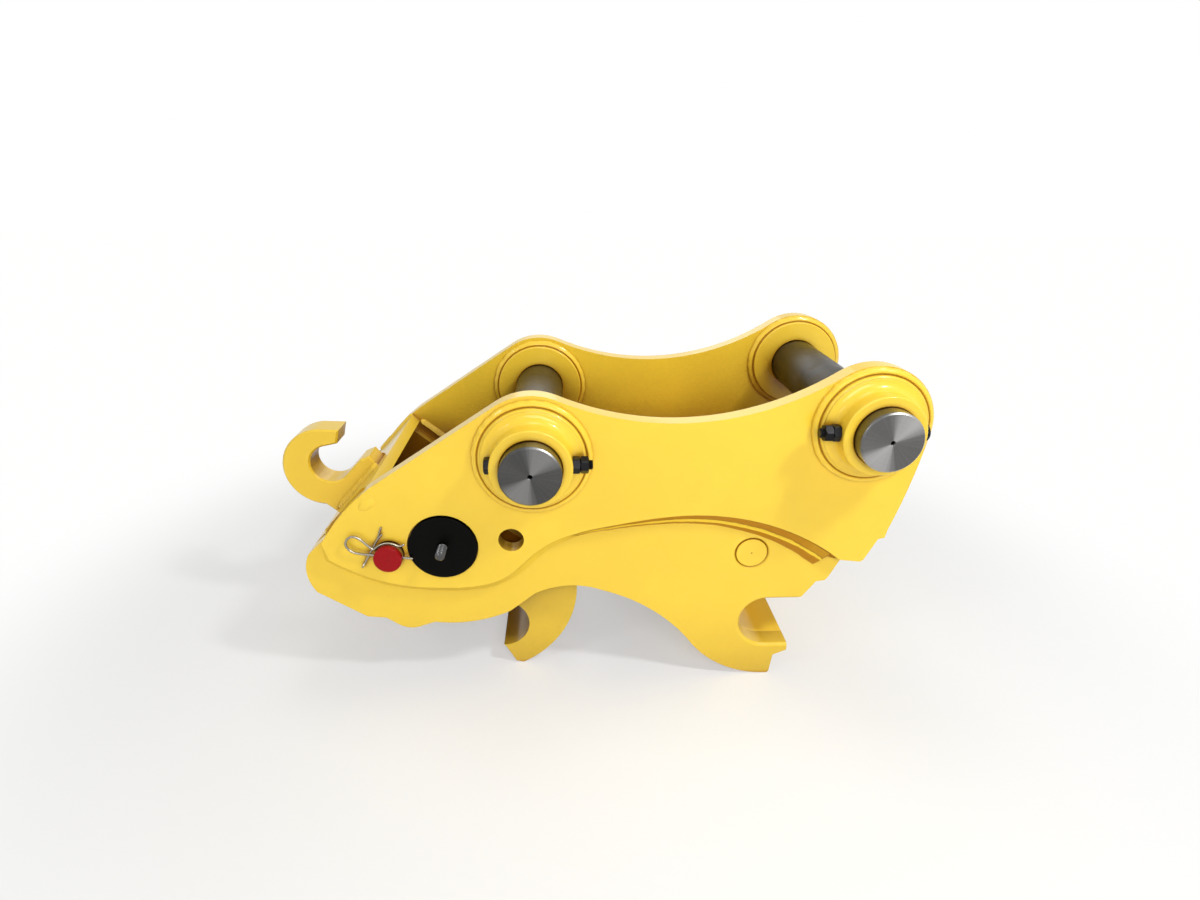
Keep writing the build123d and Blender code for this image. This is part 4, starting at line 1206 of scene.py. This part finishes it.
@dataclass
class PlateWelds:
    """Fillet welds of the cover, the lifting hook, the deck and the doublers."""

    step: float = 0.9 * MM
    cover_top: tuple[float, float] = (-342 * MM, -80 * MM)
    nose_top: tuple[float, float] = (-477 * MM, -227 * MM)
    cover_length: float = 140 * MM
    hook_half: float = 32.5 * MM
    hook_root: tuple[float, float] = (0.22, 0.98)
    deck: tuple[tuple[float, float], ...] = (
        (130 * MM, -125 * MM), (335 * MM, -110 * MM), (600 * MM, -100 * MM))
    doubler: tuple[tuple[float, float], ...] = ((-322 * MM, -96 * MM), (-258 * MM, -149 * MM))
    joint_at: tuple[float, float] = (-427 * MM, -197 * MM)
    joint_y: tuple[float, float] = (178 * MM, 238 * MM)
    joint_faces: tuple[tuple[float, float, float], ...] = ((-0.572, 0, 0.820), (-0.864, 0, 0.504))
    cover_leg: float = 6 * MM
    hook_leg: float = 11 * MM
    joint_leg: float = 16 * MM
    doubler_leg: float = 9 * MM
    plug_at: tuple[float, float] = (-337 * MM, -101 * MM)
    plug_size: tuple[float, float] = (19 * MM, 11 * MM)
    plug_height: float = 3.6 * MM
    plug_slope: float = 32.0

    def corners(self) -> list[Corner]:
        """Lists the corner lines that carry a weld."""
        found = []
        a, b = np.array(self.cover_top), np.array(self.nose_top)
        way = (b - a) / np.linalg.norm(b - a)
        out = np.array([way[1], -way[0]])
        out3 = (out[0], 0.0, out[1])
        end = a + way * self.cover_length
        low, high = a + (b - a) * self.hook_root[0], a + (b - a) * self.hook_root[1]
        (x0, z0), (x1, z1) = self.doubler
        slant = np.array([x1 - x0, z1 - z0]) / np.hypot(x1 - x0, z1 - z0)
        near, far = self.joint_y
        for side in (-1, 1):
            wall, half = side * PLATE_IN, side * self.hook_half
            inward = (0, -side, 0)
            found.append(Corner(((a[0], wall, a[1]), (end[0], wall, end[1])), out3, inward, self.cover_leg))
            found.append(Corner(((low[0], half, low[1]), (high[0], half, high[1])), out3, (0, side, 0),
                                self.hook_leg))
            for start, stop in zip(self.deck, self.deck[1:]):
                run = ((start[0], wall, start[1]), (stop[0], wall, stop[1]))
                found.append(Corner(run, (0, 0, 1), inward))
            found.append(Corner(((self.joint_at[0], side * near, self.joint_at[1]),
                                 (self.joint_at[0], side * far, self.joint_at[1])),
                                *self.joint_faces, self.joint_leg))
            found.append(Corner(((x0, wall, z0), (x1, wall, z1)), (-slant[1], 0, slant[0]), inward,
                                self.doubler_leg))
        return found

    def plug(self, side: Side) -> Shell:
        """Builds the filled and ground plug weld on the brow of a side plate.

        It is a low uneven dome: its height is the full height times the square root of 1 - 0.98 r squared,
        less a quarter, where r is 0 at its middle and 1 at its rim, which dips under the plate's face.

        Args:
            side: the side plate that carries it.

        Returns:
            The surface.
        """
        t = np.linspace(0, 2 * np.pi, 72, endpoint=False)[:, None]
        r = np.linspace(0, 1, 20)[None]
        slope = np.radians(self.plug_slope)
        reach = 1 + 0.07 * waves(3 * np.cos(t) + 2 * np.sin(t), 21)
        u = self.plug_size[0] * r * np.cos(t) * reach
        v = self.plug_size[1] * r * np.sin(t) * reach
        rough = 0.25 * MM * waves(u / (4 * MM), 22) * (1 - r)
        high = self.plug_height * (np.sqrt(1 - 0.98 * r * r) - 0.25) + rough
        x = self.plug_at[0] + u * np.cos(slope) - v * np.sin(slope)
        z = self.plug_at[1] + u * np.sin(slope) + v * np.cos(slope)
        points = np.stack([x, side.value * (PLATE_OUT + high), z], axis=-1)
        foot = points[:, -1:] * np.array([1, 0, 1]) + np.array([0, side.value * (PLATE_OUT - 1 * MM), 0])
        middle = foot.mean(axis=0, keepdims=True) + 0 * foot
        return grid(np.concatenate([points, foot, middle], axis=1), loop_u=True)

    def build(self, shop: Workshop) -> None:
        """Builds all the welds as one piece."""
        shells = []
        for seed, corner in enumerate(self.corners()):
            line = even_steps(np.array(corner.points), self.step)
            shells.append(bead(line, corner.first, corner.second, corner.leg, seed))
        shells.extend(self.plug(side) for side in Side)
        shop.hang("plate_welds", shells, Body.FRAME, YELLOW)


@dataclass(frozen=True)
class Lamp:
    """One soft rectangular lamp: its place, the point that it shines at, its two sides and its watts."""

    name: str
    at: tuple[float, float, float]
    towards: tuple[float, float, float]
    size: tuple[float, float]
    power: float


@dataclass
class Stage:
    """Floor, lamps, world and camera.

    The lamps are a broad one in front, weak ones overhead and behind, and two windows that streak the paint.
    """

    floor_z: float = -560.2 * MM
    floor_reach: float = 12.0
    glow: float = 0.4
    sky: float = 0.3
    camera_at: tuple[float, float, float] = (0.064644, -1.455983, 0.521050)
    lens: float = 19.8
    shift: tuple[float, float] = (0.0125, -0.0125)
    camera_turn: tuple[float, float, float] = (68.43165, -0.27571, -1.78577)
    sensor: float = 36.0
    clip: tuple[float, float] = (0.05, 60.0)
    middle: tuple[float, float] = (0.1, 0.0)
    fade: tuple[float, float] = (0.75, 1.9)
    lamps: tuple[Lamp, ...] = (
        Lamp("front", (0.5, -2.9, 1.25), (0.1, -0.2, -0.2), (1.8, 1.1), 40),
        Lamp("overhead", (0.2, 0.2, 2.4), (0.1, -0.1, -0.1), (1.0, 0.8), 9),
        Lamp("window_right", (1.7, -1.2, 2.0), (0.3, -0.2, 0.0), (0.26, 0.34), 30),
        Lamp("rear", (0.0, 2.9, 1.5), (0.1, 0.1, -0.2), (1.8, 1.1), 9),
        Lamp("window_left", (-1.8, -1.7, 1.4), (0, -0.2, -0.1), (0.3, 0.8), 7))

    def build(self) -> None:
        """Builds the whole stage."""
        self.floor()
        self.world()
        for lamp in self.lamps:
            self.hang_lamp(lamp)
        self.camera()

    def floor(self) -> None:
        """Builds a large plain pale floor that goes over into white away from the object."""
        u = np.linspace(-self.floor_reach, self.floor_reach, 25)
        xx, yy = np.meshgrid(u, u, indexing="ij")
        floor = solid_object("floor", [grid(np.stack([xx, yy, 0 * xx + self.floor_z], axis=-1))])
        material, n, shader, where = fresh_material("floor_white")
        shader.inputs["Base Color"].default_value = (0.94, 0.94, 0.93, 1)
        shader.inputs["Roughness"].default_value = 0.75
        shader.inputs["Specular IOR Level"].default_value = 0.1
        glow = n.add("ShaderNodeEmission", color=(1, 1, 0.995, 1), strength=1.0)
        away = n.vector("LENGTH", n.vector("SUBTRACT", where, (*self.middle, self.floor_z)), (0, 0, 0))
        far = n.span(away.node.outputs["Value"], *self.fade)
        path = n.add("ShaderNodeLightPath")
        seen = n.maths("ADD", path.outputs["Is Camera Ray"], path.outputs["Is Glossy Ray"], clamp=True)
        seen = n.maths("ADD", seen, path.outputs["Is Transmission Ray"], clamp=True)
        mix = n.add("ShaderNodeMixShader")
        n.put(mix, 0, n.maths("MULTIPLY", n.span(far, 0.0, 1.0, self.glow, 1.0), seen))
        n.put(mix, 1, shader.outputs[0])
        n.put(mix, 2, glow.outputs[0])
        end = next(node for node in n.tree.nodes if node.type == "OUTPUT_MATERIAL")
        n.tree.links.new(mix.outputs[0], end.inputs["Surface"])
        floor.data.materials.append(material)

    def world(self) -> None:
        """Sets a soft pale world that the camera and shiny surfaces see as white."""
        world = bpy.data.worlds.new("studio")
        bpy.context.scene.world = world
        world.use_nodes = True
        world.node_tree.nodes.clear()
        n = Nodes(world.node_tree)
        path = n.add("ShaderNodeLightPath")
        seen = n.maths("ADD", path.outputs["Is Camera Ray"], path.outputs["Is Glossy Ray"], clamp=True)
        seen = n.maths("ADD", seen, path.outputs["Is Transmission Ray"], clamp=True)
        white = n.add("ShaderNodeBackground", color=(1, 1, 1, 1), strength=1.0)
        light = n.add("ShaderNodeBackground", color=(1, 1, 1, 1), strength=self.sky)
        mix = n.add("ShaderNodeMixShader")
        n.put(mix, 0, seen)
        n.put(mix, 1, light.outputs[0])
        n.put(mix, 2, white.outputs[0])
        end = n.add("ShaderNodeOutputWorld")
        world.node_tree.links.new(mix.outputs[0], end.inputs["Surface"])

    def hang_lamp(self, lamp: Lamp) -> None:
        """Adds one lamp, turned towards its point."""
        data = bpy.data.lights.new(lamp.name, "AREA")
        data.shape = "RECTANGLE"
        data.size, data.size_y = lamp.size
        data.energy = lamp.power
        hung = bpy.data.objects.new(lamp.name, data)
        hung.location = lamp.at
        hung.rotation_mode = "QUATERNION"
        hung.rotation_quaternion = (Vector(lamp.towards) - Vector(lamp.at)).to_track_quat("-Z", "Y")
        bpy.context.scene.collection.objects.link(hung)

    def camera(self) -> None:
        """Adds the camera at the photograph's place, angle and framing."""
        data = bpy.data.cameras.new("camera")
        data.sensor_width = self.sensor
        data.lens = self.lens
        data.shift_x, data.shift_y = self.shift
        data.clip_start, data.clip_end = self.clip
        camera = bpy.data.objects.new("camera", data)
        angles = Euler([np.radians(angle) for angle in self.camera_turn], "XYZ")
        matrix = angles.to_matrix().to_4x4()
        matrix.translation = Vector(self.camera_at)
        camera.matrix_world = matrix
        bpy.context.scene.collection.objects.link(camera)
        bpy.context.scene.camera = camera


def main() -> None:
    """Builds and dresses every piece in order."""
    logging.basicConfig(level=logging.INFO, format="%(name)s: %(message)s")
    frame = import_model()
    shop = Workshop(frame, Finishes())
    bpy.context.scene.view_settings.view_transform = "Standard"
    Stage().build()
    for row in frame["record"]["subparts"]:
        shop.dress(row["node"], SLOT_FINISHES[Slot(row["material_slot"])])
    shop.dress("safety_pin", ROD_STEEL)
    for name in ("front_jaw_saddle", "hook_toe_plate"):
        shop.dress(name, JAW_YELLOW)
    for assembly in (PinBosses(), Pins(), LockBolts(), HingeCaps(), SafetySet(), SeamWelds(), PlateWelds()):
        assembly.build(shop)


if __name__ == "__main__":
    main()
